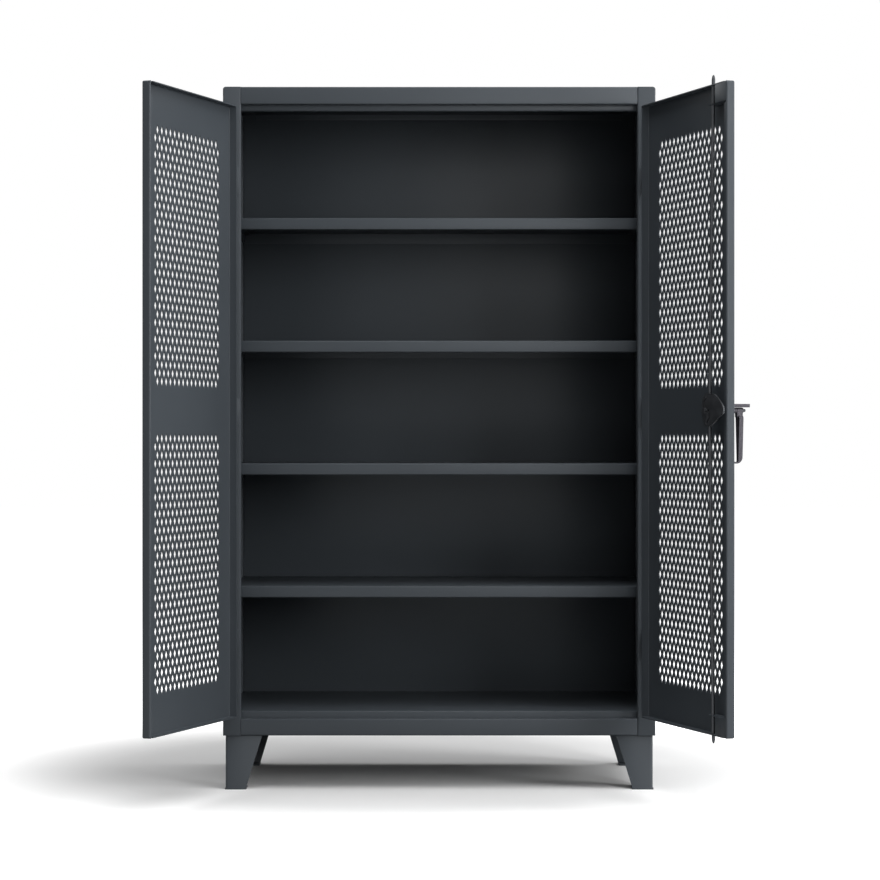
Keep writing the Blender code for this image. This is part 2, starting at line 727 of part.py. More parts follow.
def frame_leaf(name, middle):
    """Left hinge leaf on the frame's flange, with the outer two knuckles."""
    spans = knuckle_spans(middle)
    face, back = -SEAT_GAP - LEAF_THICKNESS, -SEAT_GAP
    root = -PIN_X + KNUCKLE_RADIUS + LEAF_CLEARANCE
    leaf = block(name, (root, face, spans[0][0]),
                 (-OPENING_HALF_WIDTH - FRAME_LEAF_MARGIN, back, spans[2][1]))
    return add_knuckles(leaf, (spans[0], spans[2]), (-PIN_X, face),
                        (root + LEAF_THICKNESS, back))


def door_leaf(name, middle):
    """Left hinge leaf on the door's face, jogged over the frame's leaf, with the middle knuckle."""
    spans = knuckle_spans(middle)
    door_back = -SEAT_GAP
    over_back = -SEAT_GAP - LEAF_THICKNESS - SEAT_GAP
    root = -PIN_X + KNUCKLE_RADIUS + LEAF_CLEARANCE
    jog = -OPENING_HALF_WIDTH - FRAME_LEAF_MARGIN + LEAF_CLEARANCE
    path = [(root, over_back), (jog, over_back), (jog + LEAF_JOG_WIDTH, door_back),
            (-DOOR_HINGE_EDGE + DOOR_LEAF_WIDTH, door_back)]
    leaf = folded_sheet(name, path, (spans[0][0], spans[2][1]), PLAN, RIGHT_OF_PATH,
                        LEAF_THICKNESS)
    return add_knuckles(leaf, (spans[1],), (-PIN_X, over_back - LEAF_THICKNESS),
                        (root + LEAF_THICKNESS, over_back))


def hinge_pin(name, middle):
    """Left hinge pin with a head at each end of the knuckles."""
    low, high = knuckle_spans(middle)[0][0], knuckle_spans(middle)[2][1]
    length = high - low + 2 * (SEAT_GAP + PIN_HEAD_HEIGHT)
    head = PIN_HEAD_HEIGHT
    profile = [(0, length), (PIN_HEAD_RADIUS, length), (PIN_HEAD_RADIUS, length - head),
               (PIN_RADIUS, length - head), (PIN_RADIUS, head), (PIN_HEAD_RADIUS, head),
               (PIN_HEAD_RADIUS, 0), (0, 0)]
    return turned(name, profile, (-PIN_X, -PIN_STANDOFF, low - SEAT_GAP - head), (0, 0, 1),
                  HINGE_SIDES)


def diamond_centres():
    """Return the centres of a door's diamond openings, staggered in two fields."""
    pitch_x = FIELD_WIDTH / (DIAMONDS_IN_SHORT_ROW + DIAMOND_WIDTH_SHARE)
    pitch_z = FIELD_HEIGHT / (DIAMOND_ROWS - 1 + DIAMOND_HEIGHT_SHARE)
    first_row = (FIELD_GAP + DIAMOND_HEIGHT_SHARE * pitch_z) / 2
    middle_x = -(DOOR_HINGE_EDGE + DOOR_FREE_EDGE) / 2
    middle_z = (DOOR_TOP + DOOR_BOTTOM) / 2
    centres = []
    for field in (-1, 1):
        for row in range(DIAMOND_ROWS):
            count = DIAMONDS_IN_SHORT_ROW + row % 2
            height = middle_z + field * (first_row + row * pitch_z)
            first = middle_x - (count - 1) / 2 * pitch_x
            centres.extend((first + column * pitch_x, height) for column in range(count))
    return centres, pitch_x, pitch_z


def diamond_cutter():
    """Return one cutter for all of a door's ventilation openings."""
    centres, pitch_x, pitch_z = diamond_centres()
    half_x = pitch_x * DIAMOND_WIDTH_SHARE / 2
    half_z = pitch_z * DIAMOND_HEIGHT_SHARE / 2
    outlines = [[(x - half_x, z), (x, z - half_z), (x + half_x, z), (x, z + half_z)]
                for x, z in centres]
    return plate("diamonds", outlines, (CUT_OVERRUN, -SHEET - CUT_OVERRUN), FRONT)


def door_panel(name, top_notch, bottom_notch):
    """Left door pan: folded skin with a lip at its free edge, top and bottom flanges, diamonds."""
    hinge, free = -DOOR_HINGE_EDGE, -DOOR_FREE_EDGE
    radii = (0, BEND_RADIUS, BEND_RADIUS, LIP_BEND_RADIUS, 0)
    path = filleted([(hinge, DOOR_DEPTH), (hinge, 0), (free, 0), (free, DOOR_DEPTH),
                     (free - LIP_WIDTH, DOOR_DEPTH)], radii)
    panel = folded_sheet(name, path, (DOOR_BOTTOM, DOOR_TOP), PLAN, LEFT_OF_PATH)
    lip_low = (free - LIP_WIDTH - CUT_OVERRUN, DOOR_DEPTH - LIP_BEND_RADIUS)
    lip_high = (free - LIP_BEND_RADIUS, DOOR_DEPTH + CUT_OVERRUN)
    cut(panel,
        block("notch", (*lip_low, DOOR_BOTTOM - CUT_OVERRUN), (*lip_high, DOOR_BOTTOM + bottom_notch)),
        block("notch", (*lip_low, DOOR_TOP - top_notch), (*lip_high, DOOR_TOP + CUT_OVERRUN)))
    half = SHEET / 2
    outline = filleted(rectangle((hinge + half, half), (free - half, DOOR_DEPTH - half)),
                       (BEND_RADIUS - half, BEND_RADIUS - half, LIP_BEND_RADIUS - half, 0),
                       closed=True)
    for low_z in (DOOR_BOTTOM, DOOR_TOP - SHEET):
        join(panel, plate("flange", [outline], (low_z, low_z + SHEET), PLAN))
    return cut(panel, diamond_cutter())


def right_door_panel():
    """Right door pan, with the lock's holes."""
    notch = GUIDE_HEIGHT + SHEET + CUT_OVERRUN
    left = door_panel("door_drawing", notch, notch)
    panel = mirrored(left, "right_door_panel")
    remove_object(left)
    spindle_hole = cylinder("spindle_hole", (LOCK_X, -CUT_OVERRUN, LOCK_HEIGHT),
                            (LOCK_X, SHEET + CUT_OVERRUN, LOCK_HEIGHT),
                            SPINDLE_RADIUS + 2 * SPINDLE_CLEARANCE)
    half = SHEET / 2
    return cut(panel, spindle_hole, rod_hole(DOOR_TOP - half, ROD_CLEARANCE),
               rod_hole(DOOR_BOTTOM + half, ROD_CLEARANCE))


def rod_guide(name, corner, direction):
    """Angle in a corner of the right door, with a tab that guides a lock rod.

    The corner is the height of the door's flange there, and direction is +1 at the top.
    """
    low, high = DOOR_FREE_EDGE + LIP_BEND_RADIUS + SEAT_GAP, LOCK_X + GUIDE_OVERHANG
    tab = corner - direction * GUIDE_HEIGHT
    seat = corner - direction * (SHEET + SEAT_GAP)
    material_side = LEFT_OF_PATH if direction > 0 else RIGHT_OF_PATH
    path = filleted([(SHEET + SEAT_GAP, tab), (DOOR_DEPTH, tab), (DOOR_DEPTH, seat)], BEND_RADIUS)
    guide = folded_sheet(name, path, (low, high), SIDE, material_side)
    relief_z = sorted((tab + direction * (SHEET + SEAT_GAP), seat + direction * CUT_OVERRUN))
    relief = block("relief",
                   (LOCK_X - ROD_RADIUS - GUIDE_ROD_GAP, SHEET, relief_z[0]),
                   (high + CUT_OVERRUN, DOOR_DEPTH + CUT_OVERRUN, relief_z[1]))
    return cut(guide, relief, rod_hole(tab + direction * SHEET / 2, ROD_CLEARANCE))


def lock_rod(name, tip, direction):
    """Lock rod with a long point and the follower that rides in the cam's slot."""
    end = LOCK_HEIGHT + direction * ROD_END_HEIGHT
    start = Vector((LOCK_X, ROD_DEPTH_AT_CAM, end))
    run = Vector((LOCK_X, ROD_DEPTH_AT_TIP, tip)) - start
    length = run.length
    profile = [(0, length), (ROD_POINT_RADIUS, length), (ROD_RADIUS, length - ROD_POINT_LENGTH),
               (ROD_RADIUS, 0), (0, 0)]
    rod = turned(name, profile, start, run)
    height = LOCK_HEIGHT + direction * FOLLOWER_HEIGHT
    depth = rod_depth(height)
    follower = cylinder("follower", (LOCK_X, depth, height),
                        (LOCK_X, CAM_DEPTH + CAM_THICKNESS + FOLLOWER_OVERRUN, height),
                        FOLLOWER_RADIUS, SMALL_ROUND_SIDES)
    return join(rod, follower)


def spiral_slot(first_angle):
    """Return the outline of a slot that draws its follower in evenly over a quarter turn."""
    half = FOLLOWER_RADIUS + SLOT_CLEARANCE
    quarter = math.pi / 2

    def place_at(share):
        """Return the slot's centre, and its direction to the outer wall, at a share of the turn."""
        angle = first_angle - share * quarter
        outward = Vector((math.cos(angle), math.sin(angle)))
        onward = Vector((outward.y, -outward.x))
        radius = FOLLOWER_HEIGHT - ROD_TRAVEL * share
        run = (onward * radius * quarter - outward * ROD_TRAVEL).normalized()
        return outward * radius, Vector((-run.y, run.x))

    places = [place_at(step / SLOT_STEPS) for step in range(SLOT_STEPS + 1)]
    outer = [centre + to_wall * half for centre, to_wall in places]
    inner = [centre - to_wall * half for centre, to_wall in reversed(places)]
    far_end = arc_points(places[-1][0], outer[-1], -math.pi, CORNER_STEPS)[1:-1]
    near_end = arc_points(places[0][0], inner[-1], -math.pi, CORNER_STEPS)[1:-1]
    return outer + far_end + inner + near_end


def cam_latch():
    """Cam with a hook that reaches behind the left door and two spiral slots for the rods."""
    hub = FOLLOWER_HEIGHT + FOLLOWER_RADIUS + SLOT_CLEARANCE + CAM_WALL
    nose_shares = ((-1.0, 0.14), (-0.96, -0.26), (-0.78, -0.36))
    hub_shares = ((-0.62, -1.0), (0.30, -1.0), (0.66, -0.2), (0.66, 0.42), (0.42, 1.04),
                  (-0.1, 1.06))
    shoulder_shares = ((-0.50, 0.98), (-0.80, 0.54))
    corners = [(across * CAM_REACH, up * hub) for across, up in nose_shares]
    corners += [(across * hub, up * hub) for across, up in hub_shares]
    corners += [(across * CAM_REACH, up * hub) for across, up in shoulder_shares]
    edge = filleted(corners, CAM_CORNER_RADIUS, closed=True)
    bore = circle((0, 0), SPINDLE_RADIUS + SPINDLE_CLEARANCE)
    span = (-CAM_DEPTH, -CAM_DEPTH - CAM_THICKNESS)
    cam = plate("cam_latch", [edge, bore, spiral_slot(math.pi / 2), spiral_slot(-math.pi / 2)],
                span, FRONT)
    cam.data.transform(Matrix.Translation((LOCK_X, 0, LOCK_HEIGHT)))
    return cam


def lock_point(depth):
    """Return the point on the spindle's axis at a depth behind the door's face."""
    return (LOCK_X, depth, LOCK_HEIGHT)


def spindle():
    """Spindle through the handle, the door and the cam, with a flange and a round head outside."""
    inner = CAM_DEPTH + CAM_THICKNESS + SEAT_GAP + NUT_HEIGHT
    flange_back = SPINDLE_HEAD_LENGTH + SPINDLE_FLANGE_LENGTH
    outer = GRIP_FACE + SEAT_GAP + flange_back
    length = inner + outer
    profile = [(0, length), (SPINDLE_RADIUS, length), (SPINDLE_RADIUS, flange_back),
               (SPINDLE_FLANGE_RADIUS, flange_back), (SPINDLE_FLANGE_RADIUS, SPINDLE_HEAD_LENGTH),
               (SPINDLE_HEAD_RADIUS, SPINDLE_HEAD_LENGTH), (SPINDLE_HEAD_RADIUS, 0), (0, 0)]
    return turned("spindle", profile, lock_point(-outer), (0, 1, 0))


def ring(name, near, far, radius, bore, sides=ROUND_SIDES):
    """Return a ring round the spindle between two depths."""
    outlines = [circle((LOCK_X, LOCK_HEIGHT), radius, sides), circle((LOCK_X, LOCK_HEIGHT), bore)]
    return plate(name, outlines, (-near, -far), FRONT)


def handle_base():
    """Plate and tubular boss outside the door that the spindle turns in."""
    half = BASE_WIDTH / 2
    outline = rectangle((LOCK_X - half, LOCK_HEIGHT - BASE_DROP),
                        (LOCK_X + half, LOCK_HEIGHT + HASP_RISE - SEAT_GAP))
    bore = SPINDLE_RADIUS + SPINDLE_CLEARANCE
    face = -SEAT_GAP - BASE_THICKNESS
    base = plate("handle_base",
                 [filleted(outline, BASE_THICKNESS, closed=True),
                  circle((LOCK_X, LOCK_HEIGHT), bore)], (-face, SEAT_GAP), FRONT)
    boss = ring("boss", -GRIP_STANDOFF + SEAT_GAP, face + BASE_THICKNESS / 2, BOSS_RADIUS, bore)
    return join(base, boss)


def padlock_hasp():
    """Flat bar over the handle's boss, with a round end and an eye for a padlock."""
    half = HASP_WIDTH / 2
    corners = rectangle((LOCK_X - half, -HASP_REACH), (LOCK_X + half, -SEAT_GAP))
    end_radius = half - SEAT_GAP
    outline = filleted(corners, (end_radius, end_radius, 0, 0), closed=True, steps=CORNER_STEPS)
    eye = circle((LOCK_X, -HASP_REACH + HASP_EYE_SETBACK), HASP_EYE_RADIUS)
    low = LOCK_HEIGHT + HASP_RISE
    return plate("padlock_hasp", [outline, eye], (low, low + HASP_THICKNESS), PLAN)


def handle():
    """Pull handle: a tapered grip with a round head and a curled tip."""
    face, back = -GRIP_FACE, -GRIP_STANDOFF
    bottom = LOCK_HEIGHT - GRIP_LENGTH
    top = LOCK_HEIGHT + BOSS_RADIUS + CUT_OVERRUN
    tip = back + CURL_REACH
    inner_radius = CURL_HEIGHT - CURL_THICKNESS
    side = filleted([(face, top), (face, bottom), (tip, bottom), (tip, bottom + CURL_THICKNESS),
                     (back, bottom + CURL_THICKNESS), (back, top)],
                    (0, CURL_HEIGHT, 0, 0, inner_radius / 2, 0), closed=True, steps=CORNER_STEPS)
    half_width = GRIP_WIDTH / 2
    reach = half_width + CUT_OVERRUN
    body = plate("handle", [side], (LOCK_X - reach, LOCK_X + reach), SIDE)
    neck = LOCK_HEIGHT - GRIP_NECK_LENGTH
    shoulder = neck - GRIP_FLARE_LENGTH
    tip_half = GRIP_TIP_WIDTH / 2
    right = [(BOSS_RADIUS, LOCK_HEIGHT), (BOSS_RADIUS, neck), (half_width, shoulder),
             (tip_half, bottom - CUT_OVERRUN)]
    head = arc_points((0, LOCK_HEIGHT), (-BOSS_RADIUS, LOCK_HEIGHT), -math.pi, CORNER_STEPS + 1)
    front = [(LOCK_X - across, up) for across, up in reversed(right)]
    front += [(LOCK_X + across, up) for across, up in head[1:-1]]
    front += [(LOCK_X + across, up) for across, up in right]
    outline = plate("taper", [front], (GRIP_FACE + CUT_OVERRUN, -tip - CUT_OVERRUN), FRONT)
    combine(body, outline, "INTERSECT")
    bore = SPINDLE_RADIUS + SPINDLE_CLEARANCE
    cut(body, cylinder("bore", lock_point(face - CUT_OVERRUN), lock_point(back + CUT_OVERRUN),
                       bore))
    bevel = body.modifiers.new("Edges", "BEVEL")
    bevel.width = HANDLE_EDGE_RADIUS
    bevel.segments = 1
    bevel.limit_method = "ANGLE"
    bevel.angle_limit = math.radians(50)
    bake(body)
    return body


def cam_nut():
    """Six-sided nut that holds the cam on the spindle."""
    near = CAM_DEPTH + CAM_THICKNESS + SEAT_GAP
    return ring("cam_nut", near, near + NUT_HEIGHT, NUT_RADIUS,
                SPINDLE_RADIUS + SPINDLE_CLEARANCE, sides=6)


def build_body(cabinet):
    """Add the welded body, its legs, uprights, shelves and brackets."""
    left_side = side_panel()
    right_side = mirrored(left_side, "right_side_panel")
    pieces = [left_side, right_side, back_panel(), top_panel(), header_rail(), bottom_rail(),
              top_door_stop(), floor_pan()]
    leg = front_left_leg()
    rear_leg = mirrored(leg, "leg_rear_left", axis=1, about=BODY_DEPTH / 2)
    pieces += [leg, rear_leg, mirrored(leg, "leg_front_right"),
               mirrored(rear_leg, "leg_rear_right")]
    for place, front in upright_fronts().items():
        left = upright(f"upright_{place}_left", front)
        pieces += [left, mirrored(left, f"upright_{place}_right")]
    for number in range(1, SHELF_COUNT + 1):
        bracket = shelf_bracket(number)
        pieces += [shelf(number), bracket, mirrored(bracket, f"shelf_bracket_{number}_right")]
    for piece in pieces:
        cabinet.add(piece, PAINT)


def build_hinges(cabinet, side, door_pivot, pin_foot):
    """Add one door's hinges: frame leaves and pins on the body, door leaves on the door."""
    for number, middle in enumerate(hinge_heights(), start=1):
        pieces = {"frame_leaf": frame_leaf, "hinge_pin": hinge_pin, "door_leaf": door_leaf}
        for kind, draw in pieces.items():
            name = f"{side}_{kind}_{number}"
            piece = draw(name, middle)
            if side == "right":
                drawing = piece
                drawing.name = name + "_drawing"
                piece = mirrored(drawing, name)
                remove_object(drawing)
            if kind == "door_leaf":
                cabinet.add(piece, PAINT, door_pivot, pin_foot)
            else:
                cabinet.add(piece, ZINC if kind == "hinge_pin" else PAINT)


def build_left_door(cabinet):
    """Add the left door on its hinge pins."""
    foot = Vector((-PIN_X, -PIN_STANDOFF, DOOR_BOTTOM))
    pivot = cabinet.pivot("left_door_pivot", foot, cabinet.root)
    build_hinges(cabinet, "left", pivot, foot)
    panel = door_panel("left_door_panel", LIP_TOP_NOTCH, LIP_BOTTOM_NOTCH)
    cabinet.add(panel, PAINT, pivot, foot)
    pivot.rotation_euler.z = -LEFT_OPEN_ANGLE


def build_right_door(cabinet):
    """Add the right door on its hinge pins, with the whole lock."""
    foot = Vector((PIN_X, -PIN_STANDOFF, DOOR_BOTTOM))
    pivot = cabinet.pivot("right_door_pivot", foot, cabinet.root)
    build_hinges(cabinet, "right", pivot, foot)
    collar = ring("spindle_collar", SHEET + SEAT_GAP, COLLAR_END, COLLAR_RADIUS,
                  SPINDLE_RADIUS + SPINDLE_CLEARANCE)
    for piece, look in ((right_door_panel(), PAINT), (handle_base(), CAST),
                        (padlock_hasp(), CAST), (collar, ZINC),
                        (rod_guide("upper_rod_guide", DOOR_TOP, 1), PAINT),
                        (rod_guide("lower_rod_guide", DOOR_BOTTOM, -1), PAINT)):
        cabinet.add(piece, look, pivot, foot)

    lock_centre = Vector(lock_point(0))
    lock_pivot = cabinet.pivot("handle_pivot", lock_centre, pivot, foot)
    for piece, look in ((handle(), CAST), (spindle(), ZINC), (cam_latch(), ZINC),
                        (cam_nut(), ZINC)):
        cabinet.add(piece, look, lock_pivot, lock_centre)

    for name, tip, direction in (("upper_lock_rod", UPPER_TIP, 1),
                                 ("lower_lock_rod", LOWER_TIP, -1)):
        start = Vector((LOCK_X, ROD_DEPTH_AT_CAM, LOCK_HEIGHT + direction * ROD_END_HEIGHT))
        slide = cabinet.pivot(name + "_slide", start, pivot, foot)
        cabinet.add(lock_rod(name, tip, direction), ZINC, slide, start)
    pivot.rotation_euler.z = RIGHT_OPEN_ANGLE


def main():
    """Build the cabinet with its doors open."""
    clear_scene()
    cabinet = Assembly("steel_cabinet")
    build_body(cabinet)
    build_left_door(cabinet)
    build_right_door(cabinet)
    cabinet.stand_on_origin()


main()
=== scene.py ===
"""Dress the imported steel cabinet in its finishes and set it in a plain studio.

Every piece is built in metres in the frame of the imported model, and its size and place are read
from the model's own nodes.  Door pieces are drawn with the door closed and then swung to rest.
"""
from __future__ import annotations

import json
import logging
import math
from dataclasses import dataclass, field
from enum import Enum
from typing import Any, Iterable, Mapping, Sequence

import bmesh
import bpy
from mathutils import Matrix, Vector

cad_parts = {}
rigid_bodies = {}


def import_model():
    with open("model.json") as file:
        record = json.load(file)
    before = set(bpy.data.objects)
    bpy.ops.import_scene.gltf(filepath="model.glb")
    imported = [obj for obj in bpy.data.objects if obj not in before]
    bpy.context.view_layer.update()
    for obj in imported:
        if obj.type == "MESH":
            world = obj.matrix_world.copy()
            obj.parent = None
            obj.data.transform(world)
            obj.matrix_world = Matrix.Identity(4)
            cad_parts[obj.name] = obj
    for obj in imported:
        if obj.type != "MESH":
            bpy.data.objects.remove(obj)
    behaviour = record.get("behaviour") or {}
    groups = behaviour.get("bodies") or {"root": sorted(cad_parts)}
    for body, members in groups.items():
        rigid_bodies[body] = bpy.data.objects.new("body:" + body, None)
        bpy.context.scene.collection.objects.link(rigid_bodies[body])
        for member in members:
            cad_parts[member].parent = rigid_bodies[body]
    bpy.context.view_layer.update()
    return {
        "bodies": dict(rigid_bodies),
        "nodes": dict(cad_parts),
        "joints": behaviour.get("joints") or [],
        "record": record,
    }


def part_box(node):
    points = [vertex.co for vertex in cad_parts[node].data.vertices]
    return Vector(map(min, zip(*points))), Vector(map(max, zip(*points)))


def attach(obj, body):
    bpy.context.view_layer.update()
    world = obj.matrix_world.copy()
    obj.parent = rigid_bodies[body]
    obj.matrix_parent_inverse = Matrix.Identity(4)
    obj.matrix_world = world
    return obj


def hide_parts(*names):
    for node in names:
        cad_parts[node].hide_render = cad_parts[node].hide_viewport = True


LOG = logging.getLogger("steel_cabinet")

IMAGE_PIXELS = 880
SEAT = 0.0003
OVERRUN = 0.003
WELD = 0.00001
BEND_SEGMENTS = 7
CORNER_SEGMENTS = 10
ROUND_SEGMENTS = 32
EDGE_BREAK = 0.0004
EDGE_SEGMENTS = 2
EDGE_ANGLE = math.radians(40)
SHARP_ANGLE = math.radians(32)
MM_PER_METRE = 1000

Point = tuple[float, float]
Outline = Sequence[Any]


class Plane(Enum):
    """A plane to draw in, as a matrix from (across, up, along) to (X, Y, Z)."""

    PLAN = Matrix.Identity(4)
    SIDE = Matrix(((0, 0, 1, 0), (1, 0, 0, 0), (0, 1, 0, 0), (0, 0, 0, 1)))
    FRONT = Matrix(((1, 0, 0, 0), (0, 0, -1, 0), (0, 1, 0, 0), (0, 0, 0, 1)))


class Hand(Enum):
    """The side of the cabinet that a piece is on."""

    LEFT = "left"
    RIGHT = "right"

    @property
    def sign(self) -> int:
        """Return -1 on the left and 1 on the right."""
        return -1 if self is Hand.LEFT else 1


class Stuff(Enum):
    """The record's material slots."""

    PAINT = "paint"
    ZINC = "zinc"
    CAST = "cast"


def linear(colour: str, alpha: float = 1.0) -> tuple[float, float, float, float]:
    """Turn an sRGB hex colour into linear values.

    Args:
        colour: The colour as six hex digits after a hash.
        alpha: The opacity to give back with it.

    Returns:
        Red, green, blue and alpha in linear light.
    """
    shares = [int(colour[start:start + 2], 16) / 255 for start in (1, 3, 5)]
    red, green, blue = (share / 12.92 if share <= 0.04045 else ((share + 0.055) / 1.055) ** 2.4
                        for share in shares)
    return red, green, blue, alpha


def add_node(tree: bpy.types.NodeTree, kind: str, inputs: Mapping[Any, Any] | None = None,
             **settings: Any) -> bpy.types.Node:
    """Add a node with its settings and links.

    Args:
        tree: The tree that the node goes into.
        kind: The node's type name.
        inputs: Values, output sockets or lists of output sockets, by input name or index.
        **settings: The node's own properties.

    Returns:
        The new node.
    """
    node = tree.nodes.new(kind)
    for name, value in settings.items():
        setattr(node, name, value)
    for key, value in (inputs or {}).items():
        socket = node.inputs[key]
        for item in value if isinstance(value, list) else [value]:
            if isinstance(item, bpy.types.NodeSocket):
                tree.links.new(item, socket)
            else:
                socket.default_value = item
    return node


def seen_by_lens_or_gloss(tree: bpy.types.NodeTree) -> bpy.types.NodeSocket:
    """Mark what the camera sees, in a mirror and through glass too.

    Args:
        tree: The tree that the nodes go into.

    Returns:
        A socket that is 1 on such a ray and 0 on any other.
    """
    ray = add_node(tree, "ShaderNodeLightPath").outputs
    straight = add_node(tree, "ShaderNodeMath",
                        {0: ray["Is Camera Ray"], 1: ray["Is Transmission Ray"]},
                        operation="MAXIMUM").outputs[0]
    return add_node(tree, "ShaderNodeMath", {0: straight, 1: ray["Is Glossy Ray"]},
                    operation="MAXIMUM").outputs[0]


def per_metre(size_mm: float) -> float:
    """Return the texture scale at which a feature of that many millimetres repeats."""
    return MM_PER_METRE / size_mm


@dataclass(frozen=True)
class Finish:
    """A surface made by one process, with its colour and its fine relief."""

    name: str
    colour: str
    shade: str
    roughness: float
    roughness_swing: float
    metallic: float
    relief_mm: float
    relief_height_mm: float
    cloud_mm: float
    specular: float = 0.5
    cloud_low: float = 0.3
    cloud_high: float = 0.7
    cloud_detail: float = 3.0
    cloud_roughness: float = 0.55
    relief_detail: float = 2.0

    def build(self) -> bpy.types.Material:
        """Make the finish's material.

        Returns:
            A material whose colour drifts softly between two shades over a fine relief.
        """
        material = bpy.data.materials.new(self.name)
        material.use_nodes = True
        tree = material.node_tree
        tree.nodes.clear()
        place = add_node(tree, "ShaderNodeTexCoord").outputs["Object"]
        cloud = add_node(tree, "ShaderNodeTexNoise",
                         {"Vector": place, "Scale": per_metre(self.cloud_mm),
                          "Detail": self.cloud_detail, "Roughness": self.cloud_roughness})
        colour = add_node(tree, "ShaderNodeValToRGB", {"Fac": cloud.outputs["Fac"]})
        colour.color_ramp.elements[0].position = self.cloud_low
        colour.color_ramp.elements[0].color = linear(self.shade)
        colour.color_ramp.elements[1].position = self.cloud_high
        colour.color_ramp.elements[1].color = linear(self.colour)
        gloss = add_node(tree, "ShaderNodeMapRange",
                         {"Value": cloud.outputs["Fac"], "From Min": self.cloud_low,
                          "From Max": self.cloud_high,
                          "To Min": self.roughness - self.roughness_swing,
                          "To Max": self.roughness + self.roughness_swing})
        relief = add_node(tree, "ShaderNodeTexNoise",
                          {"Vector": place, "Scale": per_metre(self.relief_mm),
                           "Detail": self.relief_detail})
        bump = add_node(tree, "ShaderNodeBump",
                        {"Height": relief.outputs["Fac"], "Strength": 1.0,
                         "Distance": self.relief_height_mm / MM_PER_METRE})
        shader = add_node(tree, "ShaderNodeBsdfPrincipled",
                          {"Base Color": colour.outputs["Color"], "Metallic": self.metallic,
                           "Roughness": gloss.outputs["Result"],
                           "Specular IOR Level": self.specular,
                           "Normal": bump.outputs["Normal"]})
        add_node(tree, "ShaderNodeOutputMaterial", {"Surface": shader.outputs["BSDF"]})
        return material


# Baked polyester powder over steel: a satin dark blue-grey with faint orange peel.  The real peel
# is a few millimetres from crest to crest, and it is drawn coarser here so that it can show.
POWDER_COAT = Finish("satin_powder_coat", "#464b50", "#42474c", 0.36, 0.03, 0.0, 9.0, 0.012,
                     420.0, specular=0.15)
# Cold-drawn steel bar, plated in black zinc: a dark grey with a blurred shine.  The marks of the
# drawing are far finer than the relief, which is only as fine as the picture can show.
ZINC_PLATE = Finish("black_zinc_plated_steel", "#3c3e41", "#333538", 0.46, 0.05, 0.7, 4.0, 0.01,
                    30.0)
# Zinc die casting, bead blasted and plated: a warmer grey than the bar.  The beads leave dimples
# of a few tenths of a millimetre, which are drawn larger so that they can show.
DIE_CAST = Finish("blasted_die_casting", "#3b393f", "#323036", 0.48, 0.05, 0.5, 3.0, 0.03, 22.0)


class Palette:
    """The materials of the object, one to a slot."""

    def __init__(self) -> None:
        """Make every material."""
        self.materials = {Stuff.PAINT: POWDER_COAT.build(), Stuff.ZINC: ZINC_PLATE.build(),
                          Stuff.CAST: DIE_CAST.build()}

    def dress_nodes(self, record: Mapping[str, Any],
                    nodes: Mapping[str, bpy.types.Object]) -> None:
        """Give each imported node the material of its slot.

        Args:
            record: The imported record.
            nodes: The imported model's objects by name.
        """
        slots = {part["node"]: Stuff(part["material_slot"]) for part in record["subparts"]}
        for name, node in nodes.items():
            node.data.materials.clear()
            node.data.materials.append(self.materials[slots[name]])


def evaluated_mesh(obj: bpy.types.Object) -> bpy.types.Mesh:
    """Return a plain mesh of what an object's modifiers make of it."""
    depsgraph = bpy.context.evaluated_depsgraph_get()
    return bpy.data.meshes.new_from_object(obj.evaluated_get(depsgraph))


